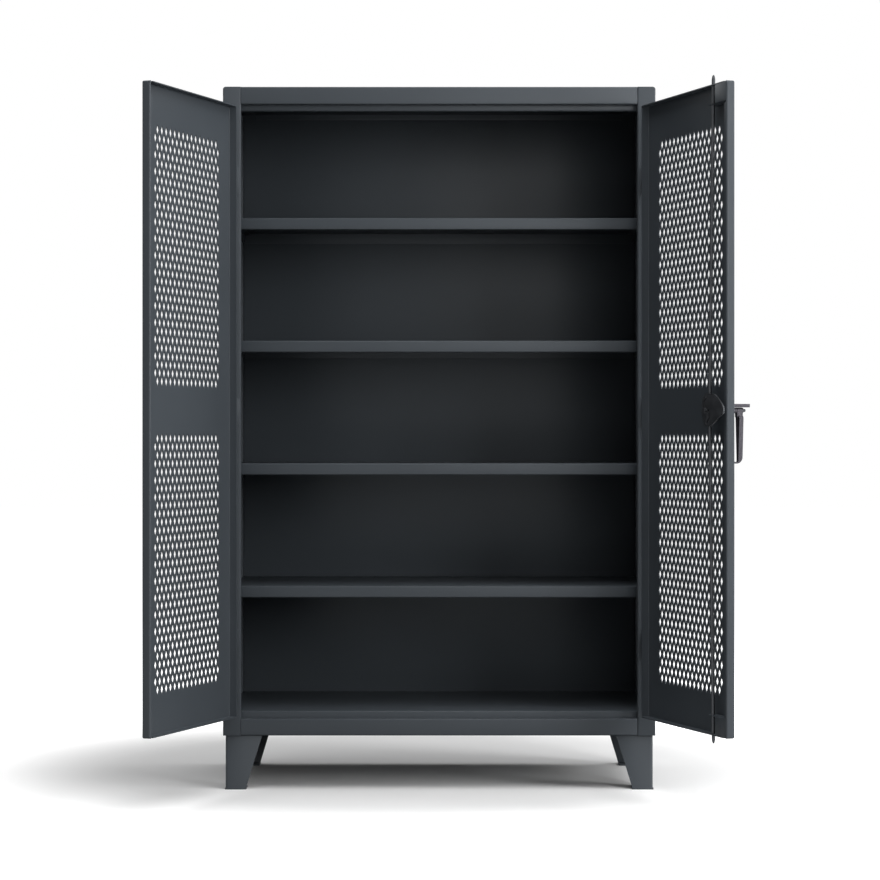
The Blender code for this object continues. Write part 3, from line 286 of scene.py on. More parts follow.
class Solid:
    """A mesh object that is still being shaped."""

    def __init__(self, obj: bpy.types.Object) -> None:
        """Take over an object."""
        self.obj = obj

    @classmethod
    def from_bmesh(cls, bm: bmesh.types.BMesh) -> Solid:
        """Make a solid of a bmesh.

        Args:
            bm: The bmesh, which is freed.

        Returns:
            The solid.
        """
        mesh = bpy.data.meshes.new("draft")
        bm.to_mesh(mesh)
        bm.free()
        return cls.from_mesh(mesh)

    @classmethod
    def from_mesh(cls, mesh: bpy.types.Mesh) -> Solid:
        """Make a solid of a mesh.

        Args:
            mesh: The mesh, which the solid takes over.

        Returns:
            The solid.
        """
        obj = bpy.data.objects.new("draft", mesh)
        bpy.context.scene.collection.objects.link(obj)
        return cls(obj)

    @classmethod
    def block(cls, low: Sequence[float], high: Sequence[float]) -> Solid:
        """Make a box.

        Args:
            low: Its lowest corner.
            high: Its highest corner.

        Returns:
            The box.
        """
        low, high = Vector(low), Vector(high)
        bm = bmesh.new()
        matrix = Matrix.Translation((low + high) / 2) @ Matrix.Diagonal((*(high - low), 1))
        bmesh.ops.create_cube(bm, size=1, matrix=matrix)
        return cls.from_bmesh(bm)

    @classmethod
    def turned(cls, profile: Iterable[Point], start: Sequence[float], direction: Sequence[float],
               segments: int = ROUND_SEGMENTS) -> Solid:
        """Turn a profile about an axis.

        Args:
            profile: (radius, distance) pairs from one end of the axis to the other.
            start: The point on the axis at distance zero.
            direction: The axis.
            segments: The number of facets round the axis.

        Returns:
            The turned solid.
        """
        bm = bmesh.new()
        points = [bm.verts.new((radius, 0, distance)) for radius, distance in profile]
        edges = [bm.edges.new(pair) for pair in zip(points, points[1:])]
        bmesh.ops.spin(bm, geom=points + edges, cent=(0, 0, 0), axis=(0, 0, 1), dvec=(0, 0, 0),
                       angle=math.tau, steps=segments, use_merge=False, use_duplicate=False)
        bmesh.ops.remove_doubles(bm, verts=bm.verts, dist=WELD)
        bmesh.ops.recalc_face_normals(bm, faces=bm.faces)
        turn = Vector(direction).to_track_quat("Z", "Y").to_matrix().to_4x4()
        bm.transform(Matrix.Translation(start) @ turn)
        return cls.from_bmesh(bm)

    @classmethod
    def rod(cls, start: Sequence[float], end: Sequence[float], radius: float,
            segments: int = ROUND_SEGMENTS) -> Solid:
        """Make a round bar.

        Args:
            start: The middle of its first end.
            end: The middle of its other end.
            radius: Its radius.
            segments: The number of facets round it.

        Returns:
            The bar.
        """
        run = Vector(end) - Vector(start)
        profile = ((0, run.length), (radius, run.length), (radius, 0), (0, 0))
        return cls.turned(profile, start, run, segments)

    @classmethod
    def plate(cls, outlines: Iterable[Outline], near: float, far: float, plane: Plane) -> Solid:
        """Make a flat plate.

        Args:
            outlines: The edge, then the holes, as closed paths.
            near: One face's place along the plane's normal.
            far: The other face's place.
            plane: The plane that the outlines are drawn in.

        Returns:
            The plate.
        """
        curve = bpy.data.curves.new("outline", "CURVE")
        curve.dimensions = "2D"
        curve.fill_mode = "BOTH"
        curve.extrude = abs(far - near) / 2
        for outline in outlines:
            spline = curve.splines.new("POLY")
            spline.points.add(len(outline) - 1)
            for point, (across, up) in zip(spline.points, outline):
                point.co = (across, up, 0, 1)
            spline.use_cyclic_u = True
        drawing = bpy.data.objects.new("outline", curve)
        bpy.context.scene.collection.objects.link(drawing)
        mesh = evaluated_mesh(drawing)
        bpy.data.objects.remove(drawing, do_unlink=True)
        bm = bmesh.new()
        bm.from_mesh(mesh)
        bmesh.ops.remove_doubles(bm, verts=bm.verts, dist=WELD)
        bm.transform(plane.value @ Matrix.Translation((0, 0, (near + far) / 2)))
        bmesh.ops.recalc_face_normals(bm, faces=bm.faces)
        return cls.from_bmesh(bm)

    @classmethod
    def folded(cls, path: Outline, first: float, last: float, plane: Plane, thickness: float,
               material_left: bool) -> Solid:
        """Sweep a folded sheet.

        Args:
            path: The section's outer or inner line.
            first: Where the sheet starts along the plane's normal.
            last: Where it ends.
            plane: The plane of the section.
            thickness: The sheet's thickness.
            material_left: Whether the sheet lies to the left of the path.

        Returns:
            The closed sheet.
        """
        bm = bmesh.new()
        side = 1 if material_left else -1
        offsets = offset_path(path, thickness * side)
        loop = [Vector(point) for point in path] + list(reversed(offsets))
        rings = [[bm.verts.new(plane.value @ Vector((*point, along))) for point in loop]
                 for along in (first, last)]
        count = len(loop)
        for index in range(count):
            after = (index + 1) % count
            bm.faces.new((rings[0][index], rings[0][after], rings[1][after], rings[1][index]))
        half = count // 2
        for ring in rings:
            for index in range(half - 1):
                bm.faces.new((ring[index], ring[index + 1], ring[count - 2 - index],
                              ring[count - 1 - index]))
        bmesh.ops.recalc_face_normals(bm, faces=bm.faces)
        return cls.from_bmesh(bm)

    def modify(self, kind: str, **settings: Any) -> Solid:
        """Apply a modifier.

        Args:
            kind: The modifier's type.
            **settings: Its properties.

        Returns:
            This solid.
        """
        modifier = self.obj.modifiers.new(kind.title(), kind)
        for name, value in settings.items():
            setattr(modifier, name, value)
        mesh = evaluated_mesh(self.obj)
        self.obj.modifiers.clear()
        self.obj.data = mesh
        return self

    def combine(self, others: Iterable[Solid], operation: str) -> Solid:
        """Join other solids to this one or cut them out of it.

        Args:
            others: The other solids, which are used up.
            operation: Blender's name of the operation.

        Returns:
            This solid.
        """
        for other in others:
            self.modify("BOOLEAN", operation=operation, solver="EXACT", object=other.obj)
            bpy.data.objects.remove(other.obj, do_unlink=True)
        return self

    def join(self, *others: Solid) -> Solid:
        """Weld other solids onto this one."""
        return self.combine(others, "UNION")

    def cut(self, *others: Solid) -> Solid:
        """Cut other solids out of this one."""
        return self.combine(others, "DIFFERENCE")

    def place(self, matrix: Matrix) -> Solid:
        """Move the mesh, and keep its faces pointing outwards.

        Args:
            matrix: The move, which may mirror.

        Returns:
            This solid.
        """
        self.obj.data.transform(matrix)
        if matrix.determinant() < 0:
            self.obj.data.flip_normals()
        return self

    def mirrored(self, about: float) -> Solid:
        """Return a mirror copy across the plane X = about."""
        twin = Solid.from_mesh(self.obj.data.copy())
        return twin.place(Matrix.Translation((2 * about, 0, 0)) @ Matrix.Diagonal((-1, 1, 1, 1)))

    def break_edges(self, width: float = EDGE_BREAK) -> Solid:
        """Round the sharp edges slightly, as cutting and coating leave them.

        Args:
            width: The width of the rounding.

        Returns:
            This solid.
        """
        return self.modify("BEVEL", width=width, segments=EDGE_SEGMENTS, limit_method="ANGLE",
                           angle_limit=EDGE_ANGLE, use_clamp_overlap=True,
                           harden_normals=False)


def offset_path(path: Outline, distance: float) -> list[Vector]:
    """Return a path's parallel.

    Args:
        path: The points of an open path.
        distance: How far to the left the parallel lies.

    Returns:
        As many points, each on the mitre of its two segments.
    """
    points = [Vector(point) for point in path]
    moved = []
    for index, point in enumerate(points):
        before = (point - points[index - 1]).normalized() if index else None
        after = (points[index + 1] - point).normalized() if index + 1 < len(points) else None
        normals = [Vector((-run.y, run.x)) for run in (before, after) if run is not None]
        mitre = sum(normals, Vector((0, 0))).normalized()
        moved.append(point + mitre * (distance / mitre.dot(normals[0])))
    return moved


def arc(centre: Outline, start: Outline, sweep: float, segments: int) -> list[Vector]:
    """Return the points of an arc.

    Args:
        centre: The arc's centre.
        start: Its first point.
        sweep: Its angle in radians, positive anticlockwise.
        segments: The number of chords.

    Returns:
        The points from first to last.
    """
    hub = Vector(centre)
    spoke = Vector(start) - hub
    return [hub + Matrix.Rotation(sweep * step / segments, 2) @ spoke
            for step in range(segments + 1)]


def rounded(corners: Outline, radii: float | Sequence[float], closed: bool = False,
            segments: int = BEND_SEGMENTS) -> list[Vector]:
    """Return a path with an arc at each corner.

    Args:
        corners: The corners in order.
        radii: One radius for all, or one for each corner.
        closed: Whether the path closes on itself.
        segments: The chords of each arc.

    Returns:
        The path's points.
    """
    points = [Vector(corner) for corner in corners]
    count = len(points)
    sizes = [radii] * count if isinstance(radii, (int, float)) else list(radii)
    path: list[Vector] = []
    for index, (corner, radius) in enumerate(zip(points, sizes)):
        if radius == 0 or (not closed and index in (0, count - 1)):
            path.append(corner)
            continue
        before = (points[index - 1] - corner).normalized()
        after = (points[(index + 1) % count] - corner).normalized()
        half_angle = before.angle(after) / 2
        start = corner + before * (radius / math.tan(half_angle))
        centre = corner + (before + after).normalized() * (radius / math.sin(half_angle))
        turn = math.copysign(math.pi - 2 * half_angle, before.cross(after))
        path.extend(arc(centre, start, -turn, segments))
    return path


def circle(across: float, up: float, radius: float,
           segments: int = ROUND_SEGMENTS) -> list[Vector]:
    """Return a round outline."""
    return arc((across, up), (across + radius, up), math.tau, segments)[:-1]


def rectangle(low_across: float, low_up: float, high_across: float, high_up: float) -> list[Point]:
    """Return the corners of a rectangle."""
    return [(low_across, low_up), (high_across, low_up), (high_across, high_up),
            (low_across, high_up)]


@dataclass
class Workshop:
    """Finishes pieces and hangs them on their bodies."""

    palette: Palette

    def deliver(self, solid: Solid, name: str, body: str, stuff: Stuff,
                replaces: Iterable[str] = ()) -> bpy.types.Object:
        """Name, shade and dress a piece, and let it ride on its body.

        Args:
            solid: The shaped piece.
            name: Its name.
            body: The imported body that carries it.
            stuff: Its material slot.
            replaces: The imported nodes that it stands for.

        Returns:
            The finished object.
        """
        obj = solid.obj
        obj.name = obj.data.name = name
        obj.data.materials.clear()
        obj.data.materials.append(self.palette.materials[stuff])
        for face in obj.data.polygons:
            face.material_index = 0
        obj.data.shade_smooth()
        obj.data.set_sharp_from_angle(angle=SHARP_ANGLE)
        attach(obj, body)
        nodes = list(replaces)
        if nodes:
            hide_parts(*nodes)
        LOG.info("%s: %d faces on %s", name, len(obj.data.polygons), body)
        return obj


class PiercedSheet:
    """Geometry Nodes tree that fills a rectangle and leaves holes in it."""

    title = ""
    pattern: tuple[tuple[str, str], ...] = ()

    def __init__(self) -> None:
        """Build the tree."""
        self.tree = bpy.data.node_groups.new(self.title, "GeometryNodeTree")
        self.keys: dict[str, str] = {}
        for name, kind in (("Sheet Width", "NodeSocketFloat"), ("Sheet Height", "NodeSocketFloat"),
                           ("Finish", "NodeSocketMaterial"), *self.pattern):
            socket = self.tree.interface.new_socket(name, in_out="INPUT", socket_type=kind)
            self.keys[name] = socket.identifier
        self.tree.interface.new_socket("Sheet", in_out="OUTPUT",
                                       socket_type="NodeSocketGeometry")
        self.sizes = add_node(self.tree, "NodeGroupInput").outputs
        self._fill(self._holes())

    def _holes(self) -> bpy.types.NodeSocket:
        """Return the holes' outlines as instances."""
        raise NotImplementedError

    def _fill(self, holes: bpy.types.NodeSocket) -> None:
        """Fill the sheet's outline round the holes, and dress it.

        Args:
            holes: The holes' outlines.
        """
        edge = add_node(self.tree, "GeometryNodeCurvePrimitiveQuadrilateral",
                        {"Width": self.sizes["Sheet Width"], "Height": self.sizes["Sheet Height"]},
                        mode="RECTANGLE").outputs["Curve"]
        lines = add_node(self.tree, "GeometryNodeJoinGeometry",
                         {"Geometry": [edge, holes]}).outputs["Geometry"]
        plain = add_node(self.tree, "GeometryNodeRealizeInstances",
                         {"Geometry": lines}).outputs["Geometry"]
        filled = add_node(self.tree, "GeometryNodeFillCurve", {"Curve": plain},
                          mode="TRIANGLES").outputs["Mesh"]
        real = add_node(self.tree, "GeometryNodeRealizeInstances",
                        {"Geometry": filled}).outputs["Geometry"]
        dressed = add_node(self.tree, "GeometryNodeSetMaterial",
                           {"Geometry": real,
                            "Material": self.sizes["Finish"]}).outputs["Geometry"]
        add_node(self.tree, "NodeGroupOutput", {0: dressed})

    def make(self, values: Mapping[str, Any]) -> bpy.types.Mesh:
        """Run the tree on an empty mesh.

        Args:
            values: Its inputs by name.

        Returns:
            The flat sheet in the XY plane, centred on the origin.
        """
        obj = bpy.data.objects.new("tree_host", bpy.data.meshes.new("tree_host"))
        bpy.context.scene.collection.objects.link(obj)
        modifier = obj.modifiers.new("Tree", "NODES")
        modifier.node_group = self.tree
        for name, value in values.items():
            modifier[self.keys[name]] = value
        mesh = evaluated_mesh(obj)
        bpy.data.objects.remove(obj, do_unlink=True)
        return mesh


class PunchedSheet(PiercedSheet):
    """A sheet with two fields of staggered diamonds, one over the other."""

    title = "Diamond perforation"
    pattern = (("Hole Pitch", "NodeSocketFloat"), ("Row Pitch", "NodeSocketFloat"),
               ("Holes In Long Row", "NodeSocketInt"), ("Long Rows", "NodeSocketInt"),
               ("Field Offset", "NodeSocketFloat"), ("Hole Width", "NodeSocketFloat"),
               ("Hole Height", "NodeSocketFloat"), ("Hole Corner Radius", "NodeSocketFloat"))
    corner_points = 2

    def _sum(self, operation: str, first: Any, second: Any) -> bpy.types.NodeSocket:
        """Return the output of one arithmetic step."""
        node = add_node(self.tree, "ShaderNodeMath", {0: first, 1: second}, operation=operation)
        return node.outputs[0]

    def _rows(self, holes: Any, rows: Any) -> bpy.types.NodeSocket:
        """Lay out every second row of the pattern.

        Args:
            holes: The holes in a row.
            rows: The number of rows.

        Returns:
            The grid of the hole centres.
        """
        width = self._sum("MULTIPLY", self._sum("SUBTRACT", holes, 1.0), self.sizes["Hole Pitch"])
        double_pitch = self._sum("MULTIPLY", self.sizes["Row Pitch"], 2.0)
        height = self._sum("MULTIPLY", self._sum("SUBTRACT", rows, 1.0), double_pitch)
        grid = add_node(self.tree, "GeometryNodeMeshGrid",
                        {"Size X": width, "Size Y": height, "Vertices X": holes,
                         "Vertices Y": rows})
        return grid.outputs["Mesh"]

    def _holes(self) -> bpy.types.NodeSocket:
        """Lay two fields of diamonds on the sheet.

        Returns:
            The diamonds' outlines as instances.
        """
        sizes = self.sizes
        long_rows = self._rows(sizes["Holes In Long Row"], sizes["Long Rows"])
        short_rows = self._rows(self._sum("SUBTRACT", sizes["Holes In Long Row"], 1.0),
                                self._sum("ADD", sizes["Long Rows"], 1.0))
        field_points = add_node(self.tree, "GeometryNodeJoinGeometry",
                                {"Geometry": [long_rows, short_rows]}).outputs["Geometry"]
        fields = []
        for sign in (-1.0, 1.0):
            shift = self._sum("MULTIPLY", sizes["Field Offset"], sign)
            vector = add_node(self.tree, "ShaderNodeCombineXYZ", {"Y": shift}).outputs[0]
            fields.append(add_node(self.tree, "GeometryNodeTransform",
                                   {"Geometry": field_points,
                                    "Translation": vector}).outputs["Geometry"])
        points = add_node(self.tree, "GeometryNodeJoinGeometry",
                          {"Geometry": fields}).outputs["Geometry"]
        half_height = self._sum("MULTIPLY", sizes["Hole Height"], 0.5)
        diamond = add_node(self.tree, "GeometryNodeCurvePrimitiveQuadrilateral",
                           {"Width": sizes["Hole Width"], "Bottom Height": half_height,
                            "Top Height": half_height}, mode="KITE").outputs["Curve"]
        soft = add_node(self.tree, "GeometryNodeFilletCurve",
                        {"Curve": diamond, "Count": self.corner_points,
                         "Radius": sizes["Hole Corner Radius"], "Limit Radius": True},
                        mode="POLY").outputs["Curve"]
        return add_node(self.tree, "GeometryNodeInstanceOnPoints",
                        {"Points": points, "Instance": soft}).outputs["Instances"]


class SlotRow(PiercedSheet):
    """A narrow strip with a row of upright slots."""

    title = "Slot row"
    pattern = (("Slot Width", "NodeSocketFloat"), ("Slot Height", "NodeSocketFloat"),
               ("Slot Pitch", "NodeSocketFloat"), ("Slot Count", "NodeSocketInt"),
               ("First Slot", "NodeSocketFloat"))

    def _holes(self) -> bpy.types.NodeSocket:
        """Lay the slots along the strip.

        Returns:
            The slots' outlines as instances.
        """
        sizes = self.sizes
        start = add_node(self.tree, "ShaderNodeCombineXYZ", {"Y": sizes["First Slot"]}).outputs[0]
        step = add_node(self.tree, "ShaderNodeCombineXYZ", {"Y": sizes["Slot Pitch"]}).outputs[0]
        points = add_node(self.tree, "GeometryNodeMeshLine",
                          {"Count": sizes["Slot Count"], "Start Location": start,
                           "Offset": step}).outputs["Mesh"]
        slot = add_node(self.tree, "GeometryNodeCurvePrimitiveQuadrilateral",
                        {"Width": sizes["Slot Width"], "Height": sizes["Slot Height"]},
                        mode="RECTANGLE").outputs["Curve"]
        return add_node(self.tree, "GeometryNodeInstanceOnPoints",
                        {"Points": points, "Instance": slot}).outputs["Instances"]


@dataclass
class Swing:
    """A door's hinge line, and the turn from closed to rest."""

    hand: Hand
    pivot: Vector
    turn: Matrix
    nodes: Mapping[str, bpy.types.Object]

    @classmethod
    def from_frame(cls, hand: Hand, frame: Mapping[str, Any]) -> Swing:
        """Read a door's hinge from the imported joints.

        Args:
            hand: The door's side.
            frame: The loaded frame.

        Returns:
            The door's swing.
        """
        joint = next(item for item in frame["joints"] if item["name"] == f"{hand.value}_door_hinge")
        pivot = Vector(joint["pos_m"])
        angle = -math.radians(joint["range_deg"][1])
        spin = Matrix.Rotation(angle, 4, Vector(joint["axis"]))
        turn = Matrix.Translation(pivot) @ spin @ Matrix.Translation(-pivot)
        return cls(hand, pivot, turn, frame["nodes"])

    def closed_box(self, node: str) -> tuple[Vector, Vector]:
        """Measure a door node with the door closed.

        Args:
            node: The node's name.

        Returns:
            Its lowest and highest corners.
        """
        back = self.turn.inverted()
        corners = [back @ vertex.co for vertex in self.nodes[node].data.vertices]
        low = Vector([min(corner[axis] for corner in corners) for axis in range(3)])
        high = Vector([max(corner[axis] for corner in corners) for axis in range(3)])
        return low, high


@dataclass
class Lock:
    """The three-point lock: pull handle, spindle, spiral cam and two sliding rods.

    Its pieces are drawn with the door closed, from the spindle's axis on the door's face: X across
    to the hinges, Y into the cabinet and Z up.
    """

    workshop: Workshop
    swing: Swing
    origin: Vector
    sheet: float
    running_gap: float = 0.0002
    spindle_radius: float = 0.0046
    spindle_head: float = 0.0040
    spindle_head_length: float = 0.0081
    spindle_flange: float = 0.0074
    spindle_flange_length: float = 0.0025
    base_plate: float = 0.003
    rivet_radius: float = 0.0034
    rivet_height: float = 0.0016
    boss_radius: float = 0.0078
    boss_root: float = 0.001
    rod_radius: float = 0.00476
    rod_gap: float = 0.0007
    strike_gap: float = 0.0017
    rod_depth_at_tip: float = 0.0159
    rod_depth_at_cam: float = 0.0268
    rod_end: float = 0.0285
    rod_point: float = 0.016
    rod_blunt: float = 0.0035
    follower_at: float = 0.034
    follower_radius: float = 0.003
    follower_end: float = 0.0390
    travel: float = 0.022
    slot_gap: float = 0.0003
    slot_steps: int = 21
    cam_nose: float = 0.0059
    cam_belly: tuple[Point, Point] = ((-0.1046, -0.0110), (-0.0850, -0.0152))
    cam_foot: tuple[float, float] = (-0.0262, 0.0127)
    cam_heel: tuple[float, float] = (-0.0085, 0.0178)
    cam_crown: Point = (0.0178, 0.0440)
    cam_top: float = -0.0042
    cam_back: tuple[Point, Point] = ((-0.0545, 0.0415), (-0.0872, 0.0228))
    cam_corners: tuple[float, ...] = (0.016, 0.011, 0.020, 0.008, 0.008, 0.010, 0.010, 0.030,
                                      0.020, 0.060, 0.060)
    nut_radius: float = 0.0085
    nut_flat: float = 0.0073
    nut_sides: int = 6
    guide_bend: float = 0.004
    guide_edge: float = 0.025
    grip_back: float = -0.0535
    grip_sheet: float = 0.004
    grip_wall: float = 0.0022
    grip_blend: int = 8
    neck: float = 0.0135
    shoulder: float = 0.0185
    shoulder_bend: float = 0.004
    hub_back: float = -0.0497
    hub_bottom: float = 0.0185
    half_grip: float = 0.01225
    half_tip: float = 0.00525
    curl_radius: float = 0.017
    curl_sweep: float = math.radians(129)
    hollow_top: float = 0.0205
    hollow_bottom: float = 0.1245
    hollow_round: float = 0.85
    cast_segments: int = 3
    cast_angle: float = math.radians(50)
    eye_radius: float = 0.0052
    eye_setback: float = 0.0100

    @classmethod
    def from_frame(cls, workshop: Workshop, swing: Swing, frame: Mapping[str, Any],
                   sheet: float) -> Lock:
        """Find the spindle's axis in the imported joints.

        Args:
            workshop: The workshop that finishes the pieces.
            swing: The right door's swing.
            frame: The loaded frame.
            sheet: The thickness of the door's sheet.

        Returns:
            The lock.
        """
        joint = next(item for item in frame["joints"] if item["name"] == "handle_turn")
        return cls(workshop, swing, swing.turn.inverted() @ Vector(joint["pos_m"]), sheet)

    @property
    def bore(self) -> float:
        """Return the radius of the holes that the spindle turns in."""
        return self.spindle_radius + self.running_gap

    def build(self) -> None:
        """Build and deliver every piece of the lock."""
        self.build_base()
        self.build_hasp()
        self.build_collar()
        self.build_handle()
        self.build_spindle()
        self.build_cam()
        self.build_nut()
        for place, sign in (("upper", 1), ("lower", -1)):
            self.build_rod(place, sign)
            self.build_guide(place, sign)

    def span(self, node: str) -> tuple[Vector, Vector]:
        """Return a node's corners with the door closed, measured from the lock's origin."""
        low, high = self.swing.closed_box(node)
        return low - self.origin, high - self.origin

    def hang(self, solid: Solid, name: str, body: str, stuff: Stuff, node: str) -> None:
        """Swing a piece out to rest and deliver it.

        Args:
            solid: The piece as drawn.
            name: Its name.
            body: The body that carries it.
            stuff: Its material slot.
            node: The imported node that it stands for.
        """
        solid.place(self.swing.turn @ Matrix.Translation(self.origin))
        self.workshop.deliver(solid, name, body, stuff, [node])

    def rod_depth(self, height: float) -> float:
        """Find how deep in the cabinet a rod's centre line lies.

        Args:
            height: A height above or below the spindle.

        Returns:
            The depth behind the door's face.
        """
        low, high = self.span("upper_lock_rod")
        if height < 0:
            low, high = self.span("lower_lock_rod")
        tip = max(abs(low.z), abs(high.z))
        share = (abs(height) - self.rod_end) / (tip - self.rod_end)
        return self.rod_depth_at_cam + share * (self.rod_depth_at_tip - self.rod_depth_at_cam)

    def rod_cutter(self, height: float, gap: float) -> Solid:
        """Return a cutter for a rod's hole in a level sheet.

        Args:
            height: The sheet's height from the spindle.
            gap: The clearance round the rod.

        Returns:
            A short upright cylinder, in the lock's own place.
        """
        centre = Vector((0, self.rod_depth(height), height))
        reach = Vector((0, 0, 2 * self.sheet))
        return Solid.rod(centre - reach, centre + reach, self.rod_radius + gap)

    def strike_cutter(self, level: float) -> Solid:
        """Return a cutter for a rod's hole in a rail, with the door closed.

        Args:
            level: The height of the rail's flange above the floor.

        Returns:
            The cutter in the cabinet's own place.
        """
        cutter = self.rod_cutter(level - self.origin.z, self.strike_gap)
        return cutter.place(Matrix.Translation(self.origin))

    def door_cutters(self) -> list[Solid]:
        """Make the cutters for the spindle's and the rods' holes.

        Returns:
            The cutters, in place in the closed door.
        """
        low, high = self.span("right_door_panel")
        cutters = [Solid.rod((0, -OVERRUN, 0), (0, self.sheet + OVERRUN, 0),
                             self.bore + self.running_gap),
                   self.rod_cutter(high.z - self.sheet / 2, self.rod_gap),
                   self.rod_cutter(low.z + self.sheet / 2, self.rod_gap)]
        return [cutter.place(Matrix.Translation(self.origin)) for cutter in cutters]

    def guide_notch(self) -> float:
        """Find how far the door's lip is cut back to clear a rod guide.

        Returns:
            The length of the cut from the door's top.
        """
        _, door_high = self.span("right_door_panel")
        guide_low, _ = self.span("upper_rod_guide")
        return door_high.z - guide_low.z + OVERRUN

    def build_base(self) -> None:
        """Build the riveted base plate with its tubular boss."""
        low, high = self.span("handle_base")
        outline = rounded(rectangle(low.x, low.z, high.x, high.z), self.base_plate, closed=True)
        face = -SEAT - self.base_plate
        base = Solid.plate([outline], SEAT, -face, Plane.FRONT)
        base.break_edges()
        rivet_z = low.z / 2 - self.rivet_radius
        dome = arc((0, 0), (self.rivet_radius, 0), math.pi / 2, BEND_SEGMENTS)
        flatten = self.rivet_height / self.rivet_radius
        cap = [(0, -self.base_plate / 2), (self.rivet_radius, -self.base_plate / 2)]
        cap += [(across, up * flatten) for across, up in dome]
        for side in (low.x / 2, high.x / 2):
            base.join(Solid.turned(cap, (side, face, rivet_z), (0, -1, 0)))
        root = self.boss_root
        reach = face - self.hub_back - SEAT
        tube = [(0, -self.base_plate / 2), (self.boss_radius + root, -self.base_plate / 2),
                (self.boss_radius + root, 0), (self.boss_radius, root),
                (self.boss_radius, reach - EDGE_BREAK), (self.boss_radius - EDGE_BREAK, reach),
                (0, reach)]
        base.join(Solid.turned(tube, (0, face, 0), (0, -1, 0)))
        base.cut(Solid.rod((0, low.y - OVERRUN, 0), (0, OVERRUN, 0), self.bore))
        self.hang(base, "lock_base", "right_door", Stuff.CAST, "handle_base")

    def build_hasp(self) -> None:
        """Build the flat padlock bar with its round end and eye."""
        low, high = self.span("padlock_hasp")
        corners = rectangle(low.x, low.y, high.x, high.y)
        end = high.x - SEAT
        outline = rounded(corners, (end, end, 0, 0), closed=True, segments=ROUND_SEGMENTS // 2)
        eye = circle(0, low.y + self.eye_setback, self.eye_radius)
        hasp = Solid.plate([outline, eye], low.z, high.z, Plane.PLAN)
        hasp.break_edges(2 * EDGE_BREAK)
        self.hang(hasp, "padlock_bar", "right_door", Stuff.CAST, "padlock_hasp")

    def build_collar(self) -> None:
        """Build the spacer between the door and the cam."""
        low, high = self.span("spindle_collar")
        collar = Solid.plate([circle(0, 0, high.x), circle(0, 0, self.bore)], -low.y, -high.y,
                             Plane.FRONT)
        self.hang(collar.break_edges(), "spindle_spacer", "right_door", Stuff.ZINC,
                  "spindle_collar")

    def _grip_side(self, face: float, bottom: float, top: float) -> list[Vector]:
        """Return the handle's side view: a thick grip that thins to a curled sheet.

        Args:
            face: The grip's outer face.
            bottom: The curl's lowest level.
            top: A level above the head.

        Returns:
            A closed path across and up.
        """
        centre = Vector((face + self.curl_radius, bottom + self.curl_radius))
        curl = arc(centre, (face, centre.y), self.curl_sweep, ROUND_SEGMENTS // 2)
        inner_radius = self.curl_radius - self.grip_sheet
        to_back = centre.x - self.grip_back
        inner = []
        for point in reversed(curl):
            spoke = (point - centre) / self.curl_radius
            reach = inner_radius
            if spoke.x * inner_radius < -to_back / 2:
                level = -to_back / spoke.x
                reach = ((level ** -self.grip_blend + inner_radius ** -self.grip_blend)
                         ** (-1 / self.grip_blend))
            inner.append(centre + spoke * reach)
        return [Vector((face, top)), *curl, *inner, Vector((self.grip_back, top))]

    def _grip_front(self, bottom: float) -> list[Vector]:
        """Return the handle's front view: a round head, a neck and a tapered grip.

        Args:
            bottom: The curl's lowest level.

        Returns:
            A closed path across and up.
        """
        corners = [(self.boss_radius, 0), (self.boss_radius, -self.neck),
                   (self.half_grip, -self.shoulder), (self.half_tip, bottom - OVERRUN)]
        right = rounded(corners, (0, self.shoulder_bend, self.shoulder_bend, 0))
        left = [Vector((-point.x, point.y)) for point in reversed(right)]
        head = arc((0, 0), (-self.boss_radius, 0), -math.pi, ROUND_SEGMENTS // 2)[1:-1]
        return left + head + right

    def build_handle(self) -> None:
        """Build the cast pull handle with its hub, hollow back and curled tip."""
        low, high = self.span("handle")
        top = self.boss_radius + OVERRUN
        reach = self.half_grip + OVERRUN
        grip = Solid.plate([self._grip_side(low.y, low.z, top)], -reach, reach, Plane.SIDE)
        front = Solid.plate([self._grip_front(low.z)], -low.y + OVERRUN, -high.y - OVERRUN,
                            Plane.FRONT)
        grip.combine([front], "INTERSECT")
        taper = (self.half_grip - self.half_tip) / (-low.z - self.shoulder)
        half_low = self.half_grip - taper * (self.hollow_bottom - self.shoulder) - self.grip_wall
        half_high = self.half_grip - self.grip_wall
        corners = [(-half_low, -self.hollow_bottom), (half_low, -self.hollow_bottom),
                   (half_high, -self.hollow_top), (-half_high, -self.hollow_top)]
        top_round = half_high * self.hollow_round
        hollow = rounded(corners, (half_low / 2, half_low / 2, top_round, top_round), closed=True)
        hub = self.boss_radius
        block = rounded(rectangle(-hub, -self.hub_bottom, hub, hub), (hub / 2, hub / 2, hub, hub),
                        closed=True)
        grip.join(Solid.plate([block], -self.hub_back, -self.grip_back + self.grip_sheet,
                              Plane.FRONT))
        grip.cut(Solid.plate([hollow], -self.grip_back - OVERRUN, -low.y - self.grip_sheet,
                             Plane.FRONT),
                 Solid.rod((0, low.y - OVERRUN, 0), (0, self.grip_back + OVERRUN, 0), self.bore))
        grip.modify("BEVEL", width=2 * EDGE_BREAK, segments=self.cast_segments,
                    limit_method="ANGLE", angle_limit=self.cast_angle, use_clamp_overlap=True)
        self.hang(grip, "pull_handle", "handle", Stuff.CAST, "handle")

